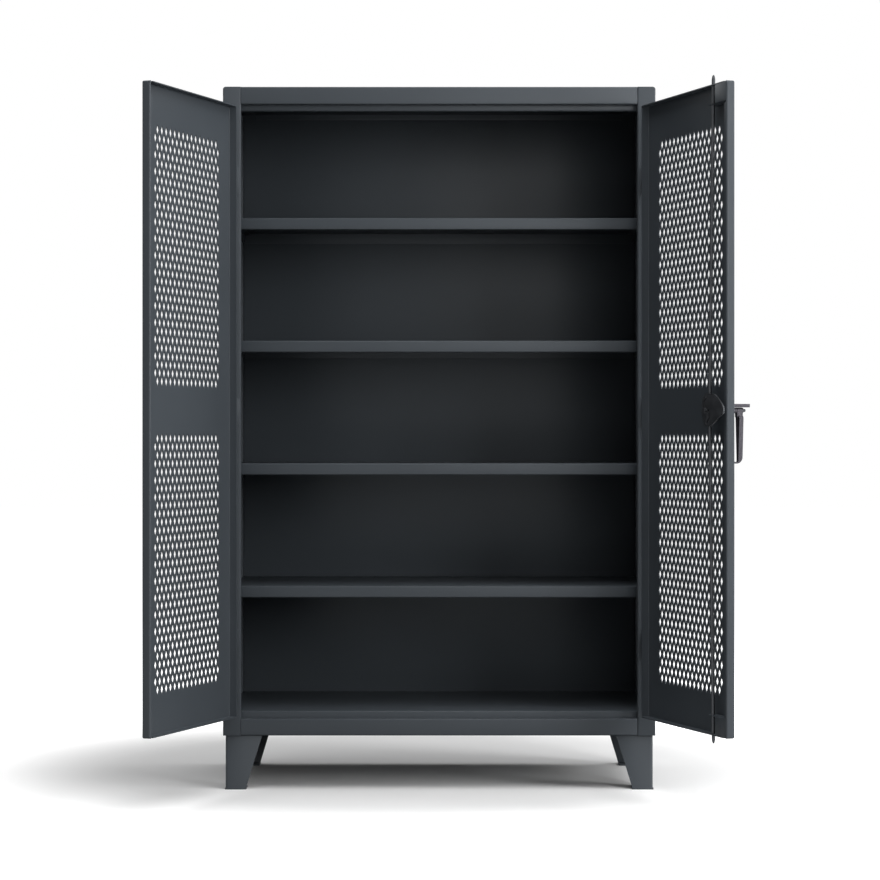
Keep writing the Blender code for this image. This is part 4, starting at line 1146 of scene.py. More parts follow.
    def build_spindle(self) -> None:
        """Build the spindle with a flange and a domed head outside."""
        low, high = self.span("spindle")
        length = high.y - low.y
        dome = arc((0, 0), (self.spindle_head, 0), math.pi / 2, BEND_SEGMENTS)
        flange_end = self.spindle_head_length + self.spindle_flange_length
        profile = [(across, (self.spindle_head - up) / 2) for across, up in reversed(dome)]
        profile += [(self.spindle_head, self.spindle_head_length),
                    (self.spindle_flange - EDGE_BREAK, self.spindle_head_length),
                    (self.spindle_flange, self.spindle_head_length + EDGE_BREAK),
                    (self.spindle_flange, flange_end), (self.spindle_radius, flange_end),
                    (self.spindle_radius, length - 2 * EDGE_BREAK),
                    (self.spindle_radius - 2 * EDGE_BREAK, length), (0, length)]
        spindle = Solid.turned(profile, (0, low.y, 0), (0, 1, 0))
        self.hang(spindle, "domed_spindle", "handle", Stuff.ZINC, "spindle")

    def _spiral(self, first_angle: float) -> list[Vector]:
        """Return a slot that draws its follower in evenly over a quarter turn.

        Args:
            first_angle: Where the follower stands with the rods shot out.

        Returns:
            The slot's closed outline round the spindle.
        """
        half = self.follower_radius + self.slot_gap
        steps = self.slot_steps
        outer: list[Vector] = []
        inner: list[Vector] = []
        centres: list[Vector] = []
        for step in range(steps + 1):
            share = step / steps
            outward = Vector((1, 0))
            outward.rotate(Matrix.Rotation(first_angle - share * math.pi / 2, 2))
            onward = Vector((outward.y, -outward.x))
            radius = self.follower_at - self.travel * share
            run = (onward * radius * math.pi / 2 - outward * self.travel).normalized()
            to_wall = Vector((-run.y, run.x)) * half
            centres.append(outward * radius)
            outer.append(outward * radius + to_wall)
            inner.append(outward * radius - to_wall)
        far_end = arc(centres[-1], outer[-1], -math.pi, BEND_SEGMENTS)[1:-1]
        near_end = arc(centres[0], inner[0], -math.pi, BEND_SEGMENTS)[1:-1]
        return outer + far_end + inner[::-1] + near_end

    def build_cam(self) -> None:
        """Build the cam with its hook and its two spiral slots."""
        low, high = self.span("cam_latch")
        foot = [(across, low.z) for across in self.cam_foot]
        heel = [(high.x, up) for up in self.cam_heel]
        corners = [(low.x, self.cam_nose), *self.cam_belly, *foot, *heel, self.cam_crown,
                   (self.cam_top, high.z), *self.cam_back]
        edge = rounded(corners, self.cam_corners, closed=True)
        cam = Solid.plate([edge, circle(0, 0, self.bore), self._spiral(math.pi / 2),
                           self._spiral(-math.pi / 2)], -low.y, -high.y, Plane.FRONT)
        self.hang(cam.break_edges(), "spiral_cam", "handle", Stuff.ZINC, "cam_latch")

    def build_nut(self) -> None:
        """Build the six-sided nut with chamfered corners."""
        low, high = self.span("cam_nut")
        height = high.y - low.y
        nut = Solid.plate([circle(0, 0, self.nut_radius, segments=self.nut_sides)], -low.y, -high.y,
                          Plane.FRONT)
        chamfer = self.nut_radius - self.nut_flat
        profile = [(0, 0), (self.nut_flat, 0), (self.nut_radius + chamfer, 2 * chamfer),
                   (self.nut_radius + chamfer, height - 2 * chamfer), (self.nut_flat, height),
                   (0, height)]
        nut.combine([Solid.turned(profile, (0, low.y, 0), (0, 1, 0))], "INTERSECT")
        nut.cut(Solid.rod((0, low.y - OVERRUN, 0), (0, high.y + OVERRUN, 0), self.bore))
        self.hang(nut, "hexagon_nut", "handle", Stuff.ZINC, "cam_nut")

    def build_rod(self, place: str, sign: int) -> None:
        """Build a lock rod with its blunt round point and its follower.

        Args:
            place: The rod's end of the door, upper or lower.
            sign: 1 for the upper rod and -1 for the lower.
        """
        low, high = self.span(f"{place}_lock_rod")
        tip = high.z if sign > 0 else low.z
        start = Vector((0, self.rod_depth_at_cam, sign * self.rod_end))
        run = Vector((0, self.rod_depth_at_tip, tip)) - start
        length = run.length
        shoulder = length - self.rod_blunt - self.rod_point
        ogive = [(self.rod_radius * math.sqrt(1 - (step / ROUND_SEGMENTS) ** 2),
                  shoulder + self.rod_point * step / ROUND_SEGMENTS)
                 for step in range(ROUND_SEGMENTS, -1, -1)]
        profile = ogive + [(self.rod_radius, EDGE_BREAK), (self.rod_radius - EDGE_BREAK, 0),
                           (0, 0)]
        rod = Solid.turned(profile, start, run)
        height = sign * self.follower_at
        depth = self.rod_depth(height)
        pin_length = self.follower_end - depth
        pin = [(0, 0), (self.follower_radius, 0), (self.follower_radius, pin_length - EDGE_BREAK),
               (self.follower_radius - EDGE_BREAK, pin_length), (0, pin_length)]
        rod.join(Solid.turned(pin, (0, depth, height), (0, 1, 0)))
        self.hang(rod, f"{place}_shooting_rod", f"{place}_rod", Stuff.ZINC, f"{place}_lock_rod")

    def build_guide(self, place: str, sign: int) -> None:
        """Build the angle in a corner of the door that guides a rod.

        Args:
            place: The guide's end of the door, upper or lower.
            sign: 1 at the top and -1 at the bottom.
        """
        low, high = self.span(f"{place}_rod_guide")
        tab, seat = (low.z, high.z) if sign > 0 else (high.z, low.z)
        path = rounded([(low.y, tab), (high.y, tab), (high.y, seat)], self.guide_bend)
        guide = Solid.folded(path, low.x, high.x, Plane.SIDE, self.sheet, sign > 0)
        ends = sorted((tab + sign * (self.sheet + SEAT), seat + sign * OVERRUN))
        guide.cut(Solid.block((-self.guide_edge, self.sheet, ends[0]),
                              (high.x + OVERRUN, high.y + OVERRUN, ends[1])),
                  self.rod_cutter(tab + sign * self.sheet / 2, self.rod_gap))
        self.hang(guide.break_edges(), f"{place}_guide_angle", "right_door", Stuff.PAINT,
                  f"{place}_rod_guide")


@dataclass
class Body:
    """The welded body: side, back and top panels, rails, door stop and floor.

    The fold at a side's top starts fold_start corner radii below it, and the return at its foot is
    return_sheets sheets wide.
    """

    workshop: Workshop
    bend: float = 0.004
    corner: float = 0.008
    side_return: float = 0.019
    fold_start: int = 3
    return_sheets: int = 10
    header_setback: float = 0.002
    sheet: float = field(init=False)
    middle: float = field(init=False)

    def __post_init__(self) -> None:
        """Read the sheet thickness and the middle plane from the back panel."""
        low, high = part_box("back_panel")
        self.sheet = high.y - low.y
        self.middle = (low.x + high.x) / 2

    def build(self, lock: Lock) -> None:
        """Build and deliver every piece of the body.

        Args:
            lock: The lock, whose rods need a hole in each rail.
        """
        self.build_sides()
        self.build_back()
        self.build_top()
        self.build_rails(lock)
        self.build_stop()
        self.build_floor()

    def build_sides(self) -> None:
        """Build the left side panel and its mirror copy."""
        low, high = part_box("left_side_panel")
        inner = high.x
        sheet = self.sheet
        path = rounded([(inner, low.y + self.side_return), (inner, low.y), (low.x, low.y),
                        (low.x, high.y)], self.bend)
        side = Solid.folded(path, low.z, high.z, Plane.PLAN, sheet, False)
        base = high.z - self.corner
        outline = arc((low.x + self.corner, base), (low.x + SEAT, base), -math.pi / 2,
                      CORNER_SEGMENTS)
        outline += [Vector((low.x + self.corner, high.z + OVERRUN)),
                    Vector((low.x - OVERRUN, high.z + OVERRUN)), Vector((low.x - OVERRUN, base))]
        side.cut(Solid.plate([outline], -low.y + OVERRUN, -high.y - OVERRUN, Plane.FRONT))
        fold = rounded([(low.x, high.z - self.fold_start * self.corner), (low.x, high.z),
                        (inner, high.z)], self.corner, segments=CORNER_SEGMENTS)
        side.join(Solid.folded(fold, -high.y, -low.y - sheet / 2, Plane.FRONT, sheet, False),
                  Solid.block((low.x + sheet / 2, low.y + sheet / 2, low.z),
                              (low.x + self.return_sheets * sheet, high.y, low.z + sheet)))
        side.break_edges()
        twin = side.mirrored(self.middle)
        self.workshop.deliver(side, "side_left", "carcass", Stuff.PAINT, ["left_side_panel"])
        self.workshop.deliver(twin, "side_right", "carcass", Stuff.PAINT, ["right_side_panel"])

    def build_back(self) -> None:
        """Build the back panel with its rounded top corners."""
        low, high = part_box("back_panel")
        outline = rounded(rectangle(low.x, low.z, high.x, high.z),
                          (0, 0, self.corner, self.corner), closed=True, segments=CORNER_SEGMENTS)
        back = Solid.plate([outline], -low.y, -high.y, Plane.FRONT).break_edges()
        self.workshop.deliver(back, "back_sheet", "carcass", Stuff.PAINT, ["back_panel"])

    def build_top(self) -> None:
        """Build the roof sheet with its turned-down edges."""
        low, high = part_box("top_panel")
        path = rounded([(low.y, low.z), (low.y, high.z), (high.y, high.z), (high.y, low.z)],
                       self.bend)
        roof = Solid.folded(path, low.x, high.x, Plane.SIDE, self.sheet, False).break_edges()
        self.workshop.deliver(roof, "roof_sheet", "carcass", Stuff.PAINT, ["top_panel"])

    def build_rails(self, lock: Lock) -> None:
        """Build the header and the bottom rail, each with a hole for a rod.

        Args:
            lock: The lock.
        """
        low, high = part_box("header_rail")
        path = rounded([(high.y - self.header_setback, low.z), (low.y, low.z), (low.y, high.z),
                        (high.y, high.z)], self.bend)
        header = Solid.folded(path, low.x, high.x, Plane.SIDE, self.sheet, False)
        header.cut(lock.strike_cutter(low.z)).break_edges()
        self.workshop.deliver(header, "header", "carcass", Stuff.PAINT, ["header_rail"])
        low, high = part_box("bottom_rail")
        path = rounded([(high.y, high.z), (low.y, high.z), (low.y, low.z), (high.y, low.z)],
                       self.bend)
        sill = Solid.folded(path, low.x, high.x, Plane.SIDE, self.sheet, True)
        sill.cut(lock.strike_cutter(high.z)).break_edges()
        self.workshop.deliver(sill, "sill", "carcass", Stuff.PAINT, ["bottom_rail"])

    def build_stop(self) -> None:
        """Build the angle that the doors close against at the top."""
        low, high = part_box("top_door_stop")
        path = rounded([(low.y, high.z), (low.y, low.z), (high.y, low.z)], self.bend)
        stop = Solid.folded(path, low.x, high.x, Plane.SIDE, self.sheet, True).break_edges()
        self.workshop.deliver(stop, "door_stop", "carcass", Stuff.PAINT, ["top_door_stop"])

    def build_floor(self) -> None:
        """Build the floor with its front and rear edges turned down."""
        low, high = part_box("floor_pan")
        path = rounded([(low.y, low.z), (low.y, high.z), (high.y, high.z), (high.y, low.z)],
                       self.bend)
        floor = Solid.folded(path, low.x, high.x, Plane.SIDE, self.sheet, False).break_edges()
        self.workshop.deliver(floor, "floor_sheet", "carcass", Stuff.PAINT, ["floor_pan"])


@dataclass
class Legs:
    """Four folded legs, tapered on their inner edges, on square foot plates."""

    workshop: Workshop
    plate: float = 0.00476
    bend: float = 0.007
    foot_width: float = 0.0568
    foot_proud: float = 0.0018
    foot_thickness: float = 0.004
    foot_corner: float = 0.003
    foot_segments: int = 4
    edge_break: float = 0.0007

    def build(self) -> None:
        """Build one leg and copy it to the other corners."""
        low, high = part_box("leg_front_left")
        _, rear_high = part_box("leg_rear_left")
        _, right_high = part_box("leg_front_right")
        outer, front, top = low.x + self.foot_proud, low.y + self.foot_proud, high.z
        width = high.x - outer
        path = rounded([(outer + width, front), (outer, front), (outer, front + width)],
                       self.bend)
        leg = Solid.folded(path, low.z, top, Plane.PLAN, self.plate, False)
        depth = self.plate + OVERRUN
        leg.cut(Solid.plate([self._waste(outer, width, low.z, top)], -front + OVERRUN,
                            -front - depth, Plane.FRONT),
                Solid.plate([self._waste(front, width, low.z, top)], outer - OVERRUN,
                            outer + depth, Plane.SIDE))
        inset = self.plate / 2
        cap = [(outer + inset, front + inset), (outer + width - inset, front + inset),
               (outer + inset, front + width - inset)]
        foot = rounded(rectangle(outer - self.foot_proud, front - self.foot_proud,
                                 outer + self.foot_width + self.foot_proud,
                                 front + self.foot_width + self.foot_proud),
                       self.foot_corner, closed=True, segments=self.foot_segments)
        leg.join(Solid.plate([cap], top - self.plate, top, Plane.PLAN),
                 Solid.plate([foot], low.z, low.z + self.foot_thickness, Plane.PLAN))
        leg.break_edges(self.edge_break)
        across = (low.x + right_high.x) / 2
        along = (low.y + rear_high.y) / 2
        rear_mesh = leg.obj.data.copy()
        flip = Matrix.Translation((0, 2 * along, 0)) @ Matrix.Diagonal((1, -1, 1, 1))
        rear = Solid.from_mesh(rear_mesh).place(flip)
        twins = {"front_left": leg, "rear_left": rear, "front_right": leg.mirrored(across),
                 "rear_right": rear.mirrored(across)}
        for place, solid in twins.items():
            self.workshop.deliver(solid, f"gusset_leg_{place}", "carcass", Stuff.PAINT,
                                  [f"leg_{place}"])

    def _waste(self, edge: float, width: float, low: float, top: float) -> list[Point]:
        """Return the outline of the waste beside a slanted edge.

        Args:
            edge: The leg's outer edge.
            width: The leg's width at its top.
            low: The level of its foot.
            top: The level of its top.

        Returns:
            A closed path across and up.
        """
        return [(edge + self.foot_width, low), (edge + width, top),
                (edge + width + OVERRUN, top), (edge + width + OVERRUN, low - OVERRUN),
                (edge + self.foot_width, low - OVERRUN)]


@dataclass
class Shelving:
    """Slotted uprights, shelves and the brackets that hook them up."""

    workshop: Workshop
    slots: SlotRow
    sheet: float
    middle: float
    upright_sheet: float = 0.002
    bend: float = 0.004
    tight_bend: float = 0.003
    slot_width: float = 0.006
    slot_height: float = 0.022
    slots_per_step: int = 7
    shelf_count: int = 4
    shelf_return: float = 0.012
    hook_gap: float = 0.0005

    def build(self) -> None:
        """Build and deliver the uprights, shelves and brackets."""
        self.build_uprights()
        for number in range(1, self.shelf_count + 1):
            self.build_shelf(number)
            self.build_bracket(number)

    def build_uprights(self) -> None:
        """Build both left uprights and their mirror copies."""
        for place in ("front", "rear"):
            left = self._upright(f"upright_{place}_left")
            right = left.mirrored(self.middle)
            for side, solid in (("left", left), ("right", right)):
                self.workshop.deliver(solid, f"slotted_upright_{place}_{side}", "carcass",
                                      Stuff.PAINT, [f"upright_{place}_{side}"])

    def _upright(self, node: str) -> Solid:
        """Shape a left upright: a slotted face between two folds.

        Args:
            node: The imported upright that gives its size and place.

        Returns:
            The upright.
        """
        low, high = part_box(node)
        shelf_low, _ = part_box("shelf_1")
        next_low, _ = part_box("shelf_2")
        bracket_low, bracket_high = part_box("shelf_bracket_1_left")
        pitch = (next_low.z - shelf_low.z) / self.slots_per_step
        first = (bracket_low.z + bracket_high.z) / 2
        while first - pitch > low.z + self.slot_height:
            first -= pitch
        count = int((high.z - self.slot_height - first) / pitch) + 1
        width = high.y - low.y - 2 * self.tight_bend
        height = high.z - low.z
        face = self.slots.make({
            "Sheet Width": width, "Sheet Height": height, "Slot Width": self.slot_width,
            "Slot Height": self.slot_height, "Slot Pitch": pitch, "Slot Count": count,
            "First Slot": first - (low.z + high.z) / 2,
            "Finish": self.workshop.palette.materials[Stuff.PAINT]})
        bm = bmesh.new()
        bm.from_mesh(face)
        upright_face = Matrix(((0, 0, 1, high.x), (1, 0, 0, (low.y + high.y) / 2),
                               (0, 1, 0, (low.z + high.z) / 2), (0, 0, 0, 1)))
        bm.transform(upright_face)
        near = rounded([(low.x, low.y), (high.x, low.y), (high.x, low.y + 2 * self.tight_bend)],
                       self.tight_bend)[:-1]
        far = [Vector((point.x, low.y + high.y - point.y)) for point in near]
        for path in (near, far):
            rows = [[bm.verts.new((point.x, point.y, level)) for level in (low.z, high.z)]
                    for point in path]
            for first_row, second_row in zip(rows, rows[1:]):
                bm.faces.new((first_row[0], first_row[1], second_row[1], second_row[0]))
        bmesh.ops.remove_doubles(bm, verts=bm.verts, dist=WELD)
        bmesh.ops.recalc_face_normals(bm, faces=bm.faces)
        centre = Vector(((low.x + high.x) / 2, (low.y + high.y) / 2, 0))
        outward = sum(face.normal.dot(face.calc_center_median() * Vector((1, 1, 0)) - centre)
                      for face in bm.faces)
        if outward < 0:
            bmesh.ops.reverse_faces(bm, faces=bm.faces)
        return Solid.from_bmesh(bm).modify("SOLIDIFY", thickness=self.upright_sheet, offset=-1,
                                           use_even_offset=True)

    def build_shelf(self, number: int) -> None:
        """Build a shelf: a sheet turned down in front and behind, with a return under its front.

        Args:
            number: The shelf's number, counted from the bottom.
        """
        low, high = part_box(f"shelf_{number}")
        path = rounded([(low.y + self.shelf_return, low.z), (low.y, low.z), (low.y, high.z),
                        (high.y, high.z), (high.y, low.z)], self.bend)
        shelf = Solid.folded(path, low.x, high.x, Plane.SIDE, self.sheet, False).break_edges()
        self.workshop.deliver(shelf, f"shelf_sheet_{number}", "carcass", Stuff.PAINT,
                              [f"shelf_{number}"])

    def build_bracket(self, number: int) -> None:
        """Build a shelf's left bracket and its mirror copy.

        Args:
            number: The shelf's number, counted from the bottom.
        """
        low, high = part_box(f"shelf_bracket_{number}_left")
        _, upright_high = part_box("upright_front_left")
        face = upright_high.x + SEAT
        section = rounded([(face, low.z), (face, high.z), (high.x, high.z)], self.tight_bend)
        bracket = Solid.folded(section, -low.y, -high.y, Plane.FRONT, self.upright_sheet, False)
        gap = self.hook_gap
        middle_z = (low.z + high.z) / 2
        for node in ("upright_front_left", "upright_rear_left"):
            post_low, post_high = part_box(node)
            centre = (post_low.y + post_high.y) / 2
            bracket.join(Solid.block(
                (low.x, centre - self.slot_width / 2 + gap, middle_z - self.slot_height / 2 + gap),
                (face + self.upright_sheet / 2, centre + self.slot_width / 2 - gap,
                 middle_z + self.slot_height / 2 - gap)))
        bracket.break_edges()
        for side, solid in (("left", bracket), ("right", bracket.mirrored(self.middle))):
            self.workshop.deliver(solid, f"shelf_angle_{number}_{side}", "carcass", Stuff.PAINT,
                                  [f"shelf_bracket_{number}_{side}"])


@dataclass
class Door:
    """A perforated door pan that swings on three hinges."""

    workshop: Workshop
    swing: Swing
    punching: PunchedSheet
    sheet: float
    bend: float = 0.0045
    hole_pitch: float = 0.0266
    row_pitch: float = 0.0221
    holes_in_long_row: int = 16
    long_rows: int = 15
    first_row: float = 0.0754
    hole_width: float = 0.0162
    hole_height: float = 0.0310
    hole_corner: float = 0.0012
    top_notch: float = 0.0399
    bottom_notch: float = 0.0244
    lip: float = 0.015

    @property
    def body(self) -> str:
        """Return the name of the door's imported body."""
        return f"{self.swing.hand.value}_door"

    def build(self, cutters: Iterable[Solid] = ()) -> None:
        """Build the pan, drawn as a right door and mirrored where need be.

        Args:
            cutters: Solids to cut out of the closed door.
        """
        low, high = self.swing.closed_box(f"{self.body}_panel")
        width, depth, height = high - low
        bm = bmesh.new()
        skin = self.punching.make({
            "Sheet Width": width - 2 * self.bend, "Sheet Height": height - 2 * self.bend,
            "Hole Pitch": self.hole_pitch, "Row Pitch": self.row_pitch,
            "Holes In Long Row": self.holes_in_long_row, "Long Rows": self.long_rows,
            "Field Offset": self.first_row + self.long_rows * self.row_pitch,
            "Hole Width": self.hole_width, "Hole Height": self.hole_height,
            "Hole Corner Radius": self.hole_corner,
            "Finish": self.workshop.palette.materials[Stuff.PAINT]})
        bm.from_mesh(skin)
        bm.transform(Matrix(((1, 0, 0, width / 2), (0, 0, 1, 0), (0, 1, 0, height / 2),
                             (0, 0, 0, 1))))
        self._add_rim(bm, width, depth, height)
        bmesh.ops.remove_doubles(bm, verts=bm.verts, dist=WELD)
        bmesh.ops.recalc_face_normals(bm, faces=bm.faces)
        bm.faces.ensure_lookup_table()
        flat = max(bm.faces, key=lambda face: abs(face.normal.y) * face.calc_area())
        if flat.normal.y > 0:
            bmesh.ops.reverse_faces(bm, faces=bm.faces)
        pan = Solid.from_bmesh(bm)
        pan.modify("SOLIDIFY", thickness=self.sheet, offset=-1, use_even_offset=True)
        pan.cut(Solid.block((self.bend, depth - self.bend, -OVERRUN),
                            (self.lip + OVERRUN, depth + OVERRUN, self.bottom_notch)),
                Solid.block((self.bend, depth - self.bend, height - self.top_notch),
                            (self.lip + OVERRUN, depth + OVERRUN, height + OVERRUN)))
        if self.swing.hand is Hand.RIGHT:
            to_closed = Matrix.Translation(low)
        else:
            to_closed = (Matrix.Translation((high.x, low.y, low.z))
                         @ Matrix.Diagonal((-1, 1, 1, 1)))
        pan.place(to_closed)
        pan.cut(*cutters)
        pan.place(self.swing.turn)
        self.workshop.deliver(pan, f"{self.body}_pan", self.body, Stuff.PAINT,
                              [f"{self.body}_panel"])

    def _add_rim(self, bm: bmesh.types.BMesh, width: float, depth: float, height: float) -> None:
        """Add the rounded edges, the four flanges and the free edge's lip round the skin.

        Args:
            bm: The mesh that holds the skin.
            width: The pan's width, from the free edge at zero to the hinge edge.
            depth: The depth of its flanges.
            height: Its height.
        """
        straight = depth - self.bend
        rings = []
        for step in range(BEND_SEGMENTS + 1):
            angle = math.pi / 2 * (1 - step / BEND_SEGMENTS)
            inset = self.bend * (1 - math.cos(angle))
            rings.append(self._ring(bm, width, height, inset, self.bend * (1 - math.sin(angle))))
        rings.append(self._ring(bm, width, height, 0, straight))
        for inner, outer in zip(rings, rings[1:]):
            for index in range(len(inner)):
                after = (index + 1) % len(inner)
                bm.faces.new((inner[index], inner[after], outer[after], outer[index]))
        last = rings[-1]
        rim = self._ring(bm, width, height, 0, depth)
        count = len(last)
        for index in range(count):
            after = (index + 1) % count
            if index != count - 1:
                bm.faces.new((last[index], last[after], rim[after], rim[index]))
        path = arc((self.bend, straight), (0, straight), -math.pi / 2, BEND_SEGMENTS)
        path.append(Vector((self.lip, depth)))
        rows = [[bm.verts.new((point.x, point.y, level))
                 for level in (self.bend, height - self.bend)] for point in path]
        for first_row, second_row in zip(rows, rows[1:]):
            bm.faces.new((first_row[0], first_row[1], second_row[1], second_row[0]))

    def _ring(self, bm: bmesh.types.BMesh, width: float, height: float, inset: float,
              depth: float) -> list[bmesh.types.BMVert]:
        """Add a rounded rectangle of vertices that starts and ends on the free side.

        Args:
            bm: The mesh.
            width: The pan's width.
            height: The pan's height.
            inset: How far the ring lies inside the pan's outline.
            depth: Its place behind the door's face.

        Returns:
            The ring's vertices, from the free side's lower end round to its upper end.
        """
        radius = self.bend - inset
        corners = rectangle(inset, inset, width - inset, height - inset)
        outline: list[Vector] = []
        for number, (across, up) in enumerate(corners):
            toward = Vector((1 if across < width / 2 else -1, 1 if up < height / 2 else -1))
            centre = Vector((across, up)) + toward * radius
            start_angle = math.pi + number * math.pi / 2
            for step in range(BEND_SEGMENTS + 1):
                angle = start_angle + math.pi / 2 * step / BEND_SEGMENTS
                outline.append(centre + Vector((math.cos(angle), math.sin(angle))) * radius)
        return [bm.verts.new((point.x, depth, point.y)) for point in outline]


@dataclass
class Hinges:
    """Three butt hinges: leaves with rolled knuckles on a headed pin."""

    workshop: Workshop
    swing: Swing
    leaf: float = 0.003
    knuckle: float = 0.0071
    knuckle_gap: float = 0.0005
    knuckle_bore: float = 0.0044
    finger_gap: float = 0.0008
    jog: float = 0.004
    pin_radius: float = 0.0042
    head: float = 0.003
    dome: float = 0.002
    hinge_count: int = 3
    knuckle_count: int = 3

    def build(self) -> None:
        """Build every leaf and pin of one door."""
        side = self.swing.hand.value
        for number in range(1, self.hinge_count + 1):
            frame_low, frame_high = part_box(f"{side}_frame_leaf_{number}")
            spans = self._spans(frame_low.z, frame_high.z)
            self._frame_leaf(number, frame_low, frame_high, spans)
            self._door_leaf(number, spans)
            self._pin(number)

    def _spans(self, low: float, high: float) -> list[Point]:
        """Divide a hinge's height among its knuckles.

        Args:
            low: The hinge's lower end.
            high: Its upper end.

        Returns:
            The lower and upper end of each knuckle, lowest first.
        """
        share = (high - low + self.knuckle_gap) / self.knuckle_count
        return [(low + share * step, low + share * (step + 1) - self.knuckle_gap)
                for step in range(self.knuckle_count)]

    def _knuckles(self, leaf: Solid, spans: Iterable[Point], near: float, far: float,
                  root: float, axis: Vector) -> Solid:
        """Join knuckles to a leaf and bore them.

        Args:
            leaf: The leaf.
            spans: The knuckles' heights.
            near: The front of the fingers.
            far: The back of the fingers.
            root: Where the fingers join the leaf.
            axis: A point on the hinge line.

        Returns:
            The leaf.
        """
        for low, high in spans:
            left, right = sorted((axis.x, root))
            leaf.join(Solid.block((left, near, low), (right, far, high)),
                      Solid.rod((axis.x, axis.y, low), (axis.x, axis.y, high), self.knuckle))
        levels = [level for span in spans for level in span]
        return leaf.cut(Solid.rod((axis.x, axis.y, min(levels) - OVERRUN),
                                  (axis.x, axis.y, max(levels) + OVERRUN),
                                  self.knuckle_bore))

    def _frame_leaf(self, number: int, low: Vector, high: Vector,
                    spans: Sequence[Point]) -> None:
        """Build a leaf on the frame's flange.

        Args:
            number: The hinge's number, counted from the bottom.
            low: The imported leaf's lowest corner.
            high: Its highest corner.
            spans: The knuckles' heights.
        """
        side = self.swing.hand.value
        sign = self.swing.hand.sign
        axis = self.swing.pivot
        face, back = high.y - self.leaf, high.y
        inner = low.x if sign > 0 else high.x
        root = axis.x - sign * (self.knuckle + self.finger_gap)
        left, right = sorted((inner, root))
        leaf = Solid.block((left, face, spans[0][0]), (right, back, spans[2][1]))
        self._knuckles(leaf, (spans[0], spans[2]), face, back, root - sign * self.leaf, axis)
        leaf.break_edges()
        self.workshop.deliver(leaf, f"hinge_{side}_frame_{number}", "carcass", Stuff.PAINT,
                              [f"{side}_frame_leaf_{number}"])

    def _door_leaf(self, number: int, spans: Sequence[Point]) -> None:
        """Build a jogged leaf on the door's face.

        Args:
            number: The hinge's number, counted from the bottom.
            spans: The knuckles' heights.
        """
        side = self.swing.hand.value
        sign = self.swing.hand.sign
        axis = self.swing.pivot
        low, high = self.swing.closed_box(f"{side}_door_leaf_{number}")
        panel_low, _ = self.swing.closed_box(f"{side}_door_panel")
        back = panel_low.y - SEAT
        over = back - self.leaf - SEAT
        root = axis.x - sign * (self.knuckle + self.finger_gap)
        frame_low, frame_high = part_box(f"{side}_frame_leaf_{number}")
        frame_end = frame_low.x if sign > 0 else frame_high.x
        bend = frame_end - sign * self.finger_gap
        end = low.x if sign > 0 else high.x
        path = [Vector((root, over)), Vector((bend, over)), Vector((bend - sign * self.jog, back)),
                Vector((end, back))]
        leaf = Solid.folded(path, spans[0][0], spans[2][1], Plane.PLAN, self.leaf, sign > 0)
        self._knuckles(leaf, (spans[1],), over - self.leaf, over, root - sign * self.leaf, axis)
        leaf.break_edges().place(self.swing.turn)
        self.workshop.deliver(leaf, f"hinge_{side}_door_{number}", f"{side}_door", Stuff.PAINT,
                              [f"{side}_door_leaf_{number}"])

    def _pin(self, number: int) -> None:
        """Build a pin with a domed head at each end.

        Args:
            number: The hinge's number, counted from the bottom.
        """
        side = self.swing.hand.value
        low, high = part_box(f"{side}_hinge_pin_{number}")
        length = high.z - low.z
        radius, crown = self.pin_radius, (high.y - low.y) / 2
        dome = arc((0, 0), (crown, 0), math.pi / 2, BEND_SEGMENTS)
        lower = [(across, self.dome * (1 - up / crown)) for across, up in reversed(dome)]
        lower += [(crown, self.head), (radius, self.head)]
        profile = lower + [(across, length - along) for across, along in reversed(lower)]
        centre = (low + high) / 2
        pin = Solid.turned(profile, (centre.x, centre.y, low.z), (0, 0, 1))
        self.workshop.deliver(pin, f"hinge_{side}_pin_{number}", "carcass", Stuff.ZINC,
                              [f"{side}_hinge_pin_{number}"])


@dataclass(frozen=True)
class Lamp:
    """A soft rectangular lamp that is aimed at the cabinet."""

    name: str
    place: tuple[float, float, float]
    width: float
    height: float
    watts: float

    def hang(self, aim: Vector) -> None:
        """Hang the lamp in the scene.

        Args:
            aim: The point that it faces.
        """
        data = bpy.data.lights.new(self.name, "AREA")
        data.shape = "RECTANGLE"
        data.size = self.width
        data.size_y = self.height
        data.energy = self.watts
        lamp = bpy.data.objects.new(self.name, data)
        lamp.location = Vector(self.place)
        lamp.rotation_euler = (aim - lamp.location).to_track_quat("-Z", "Y").to_euler()
        bpy.context.scene.collection.objects.link(lamp)


LAMPS = (Lamp("key", (3.3, -4.2, 4.0), 1.8, 3.0, 25.0),
         Lamp("front", (1.3, -7.0, 2.3), 3.4, 2.2, 80.0),
         Lamp("strip", (3.1, -4.3, 2.1), 1.0, 2.4, 85.0),
         Lamp("side", (4.8, -1.9, 2.2), 1.6, 2.4, 115.0),
         Lamp("overhead", (0.6, -0.5, 5.2), 6.0, 6.0, 370.0))


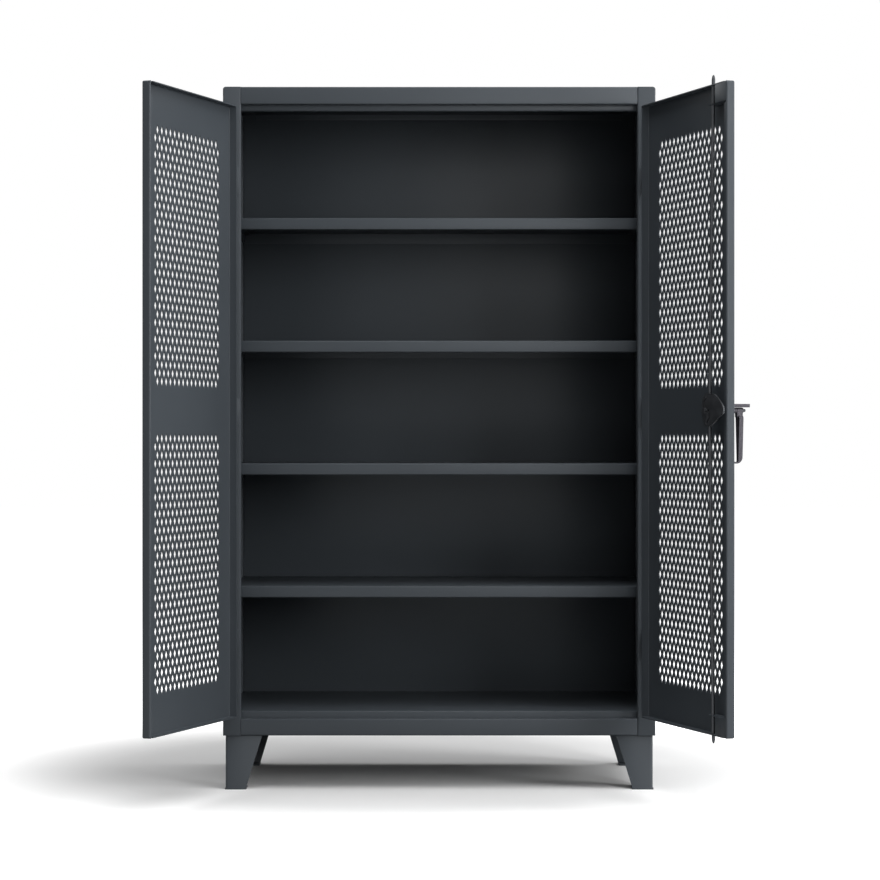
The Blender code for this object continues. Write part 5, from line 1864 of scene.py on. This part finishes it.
@dataclass
class Studio:
    """The floor, the white surroundings, the lamps and the camera."""

    camera_distance: float = 7.366
    camera_height: float = 0.9855
    camera_offset: float = 0.0023
    focal_pixels: float = 2614.0
    sensor_mm: float = 36.0
    floor_size: float = 60.0
    floor_colour: str = "#f6f6f6"
    floor_bounce: str = "#707070"
    shadow_shift: tuple[float, float] = (-0.08, 0.20)
    glow_near: float = 0.80
    glow_far: float = 1.75
    surround: float = 0.03
    aim_height: float = 0.9

    def build(self) -> None:
        """Set up the whole studio."""
        low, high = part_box("back_panel")
        front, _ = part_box("left_side_panel")
        middle = (low.x + high.x) / 2
        self._floor(Vector(((low.x + high.x) / 2, (front.y + high.y) / 2)))
        self._surroundings()
        for lamp in LAMPS:
            lamp.hang(Vector((middle, front.y, self.aim_height)))
        self._camera(middle, front.y)
        bpy.context.scene.view_settings.view_transform = "Standard"

    def _camera(self, middle: float, front: float) -> None:
        """Aim the camera square at the front, as the photograph's was.

        Args:
            middle: The middle of the cabinet across.
            front: The plane of its front.
        """
        data = bpy.data.cameras.new("camera")
        data.sensor_width = self.sensor_mm
        data.lens = self.focal_pixels / IMAGE_PIXELS * self.sensor_mm
        camera = bpy.data.objects.new("camera", data)
        camera.location = (middle + self.camera_offset, front - self.camera_distance,
                           self.camera_height)
        camera.rotation_euler = (math.pi / 2, 0, 0)
        bpy.context.scene.collection.objects.link(camera)
        bpy.context.scene.camera = camera

    def _floor(self, centre: Vector) -> None:
        """Lay a white floor that keeps the cabinet's shadow and fades to plain white round it.

        Args:
            centre: The middle of the cabinet's plan.
        """
        bm = bmesh.new()
        bmesh.ops.create_grid(bm, x_segments=1, y_segments=1, size=self.floor_size / 2)
        mesh = bpy.data.meshes.new("floor")
        bm.to_mesh(mesh)
        bm.free()
        floor = bpy.data.objects.new("floor", mesh)
        bpy.context.scene.collection.objects.link(floor)
        floor.location = (*(centre + Vector(self.shadow_shift)), 0)
        material = bpy.data.materials.new("white_floor")
        material.use_nodes = True
        tree = material.node_tree
        tree.nodes.clear()
        seen = seen_by_lens_or_gloss(tree)
        grey = add_node(tree, "ShaderNodeBsdfDiffuse", {"Color": linear(self.floor_bounce)})
        white = add_node(tree, "ShaderNodeBsdfDiffuse", {"Color": linear(self.floor_colour)})
        matte = add_node(tree, "ShaderNodeMixShader",
                         {0: seen, 1: grey.outputs["BSDF"], 2: white.outputs["BSDF"]})
        place = add_node(tree, "ShaderNodeTexCoord").outputs["Object"]
        away = add_node(tree, "ShaderNodeVectorMath", {0: place}, operation="LENGTH")
        fade = add_node(tree, "ShaderNodeMapRange",
                        {"Value": away.outputs["Value"], "From Min": self.glow_near,
                         "From Max": self.glow_far}, interpolation_type="SMOOTHSTEP")
        strength = add_node(tree, "ShaderNodeMath", {0: seen, 1: fade.outputs["Result"]},
                            operation="MULTIPLY").outputs[0]
        glow = add_node(tree, "ShaderNodeEmission",
                        {"Color": linear("#ffffff"), "Strength": strength})
        both = add_node(tree, "ShaderNodeAddShader",
                        {0: matte.outputs["Shader"], 1: glow.outputs["Emission"]})
        add_node(tree, "ShaderNodeOutputMaterial", {"Surface": both.outputs["Shader"]})
        mesh.materials.append(material)

    def _surroundings(self) -> None:
        """Show white round the object, and light it evenly and more softly."""
        world = bpy.data.worlds.new("white_room")
        world.use_nodes = True
        tree = world.node_tree
        tree.nodes.clear()
        seen = seen_by_lens_or_gloss(tree)
        strength = add_node(tree, "ShaderNodeMapRange",
                            {"Value": seen, "To Min": self.surround, "To Max": 1.0})
        light = add_node(tree, "ShaderNodeBackground",
                         {"Color": linear("#ffffff"), "Strength": strength.outputs["Result"]})
        add_node(tree, "ShaderNodeOutputWorld", {"Surface": light.outputs["Background"]})
        bpy.context.scene.world = world


def main() -> None:
    """Dress the cabinet and set the studio round it."""
    logging.basicConfig(level=logging.INFO, format="%(message)s")
    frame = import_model()
    palette = Palette()
    palette.dress_nodes(frame["record"], frame["nodes"])
    workshop = Workshop(palette)
    swings = {hand: Swing.from_frame(hand, frame) for hand in Hand}
    body = Body(workshop)
    lock = Lock.from_frame(workshop, swings[Hand.RIGHT], frame, body.sheet)
    body.build(lock)
    Legs(workshop).build()
    Shelving(workshop, SlotRow(), body.sheet, body.middle).build()
    punching = PunchedSheet()
    left = Door(workshop, swings[Hand.LEFT], punching, body.sheet)
    left.build()
    notch = lock.guide_notch()
    right = Door(workshop, swings[Hand.RIGHT], punching, body.sheet, top_notch=notch,
                 bottom_notch=notch)
    right.build(lock.door_cutters())
    for swing in swings.values():
        Hinges(workshop, swing).build()
    lock.build()
    Studio().build()


if __name__ == "__main__":
    main()
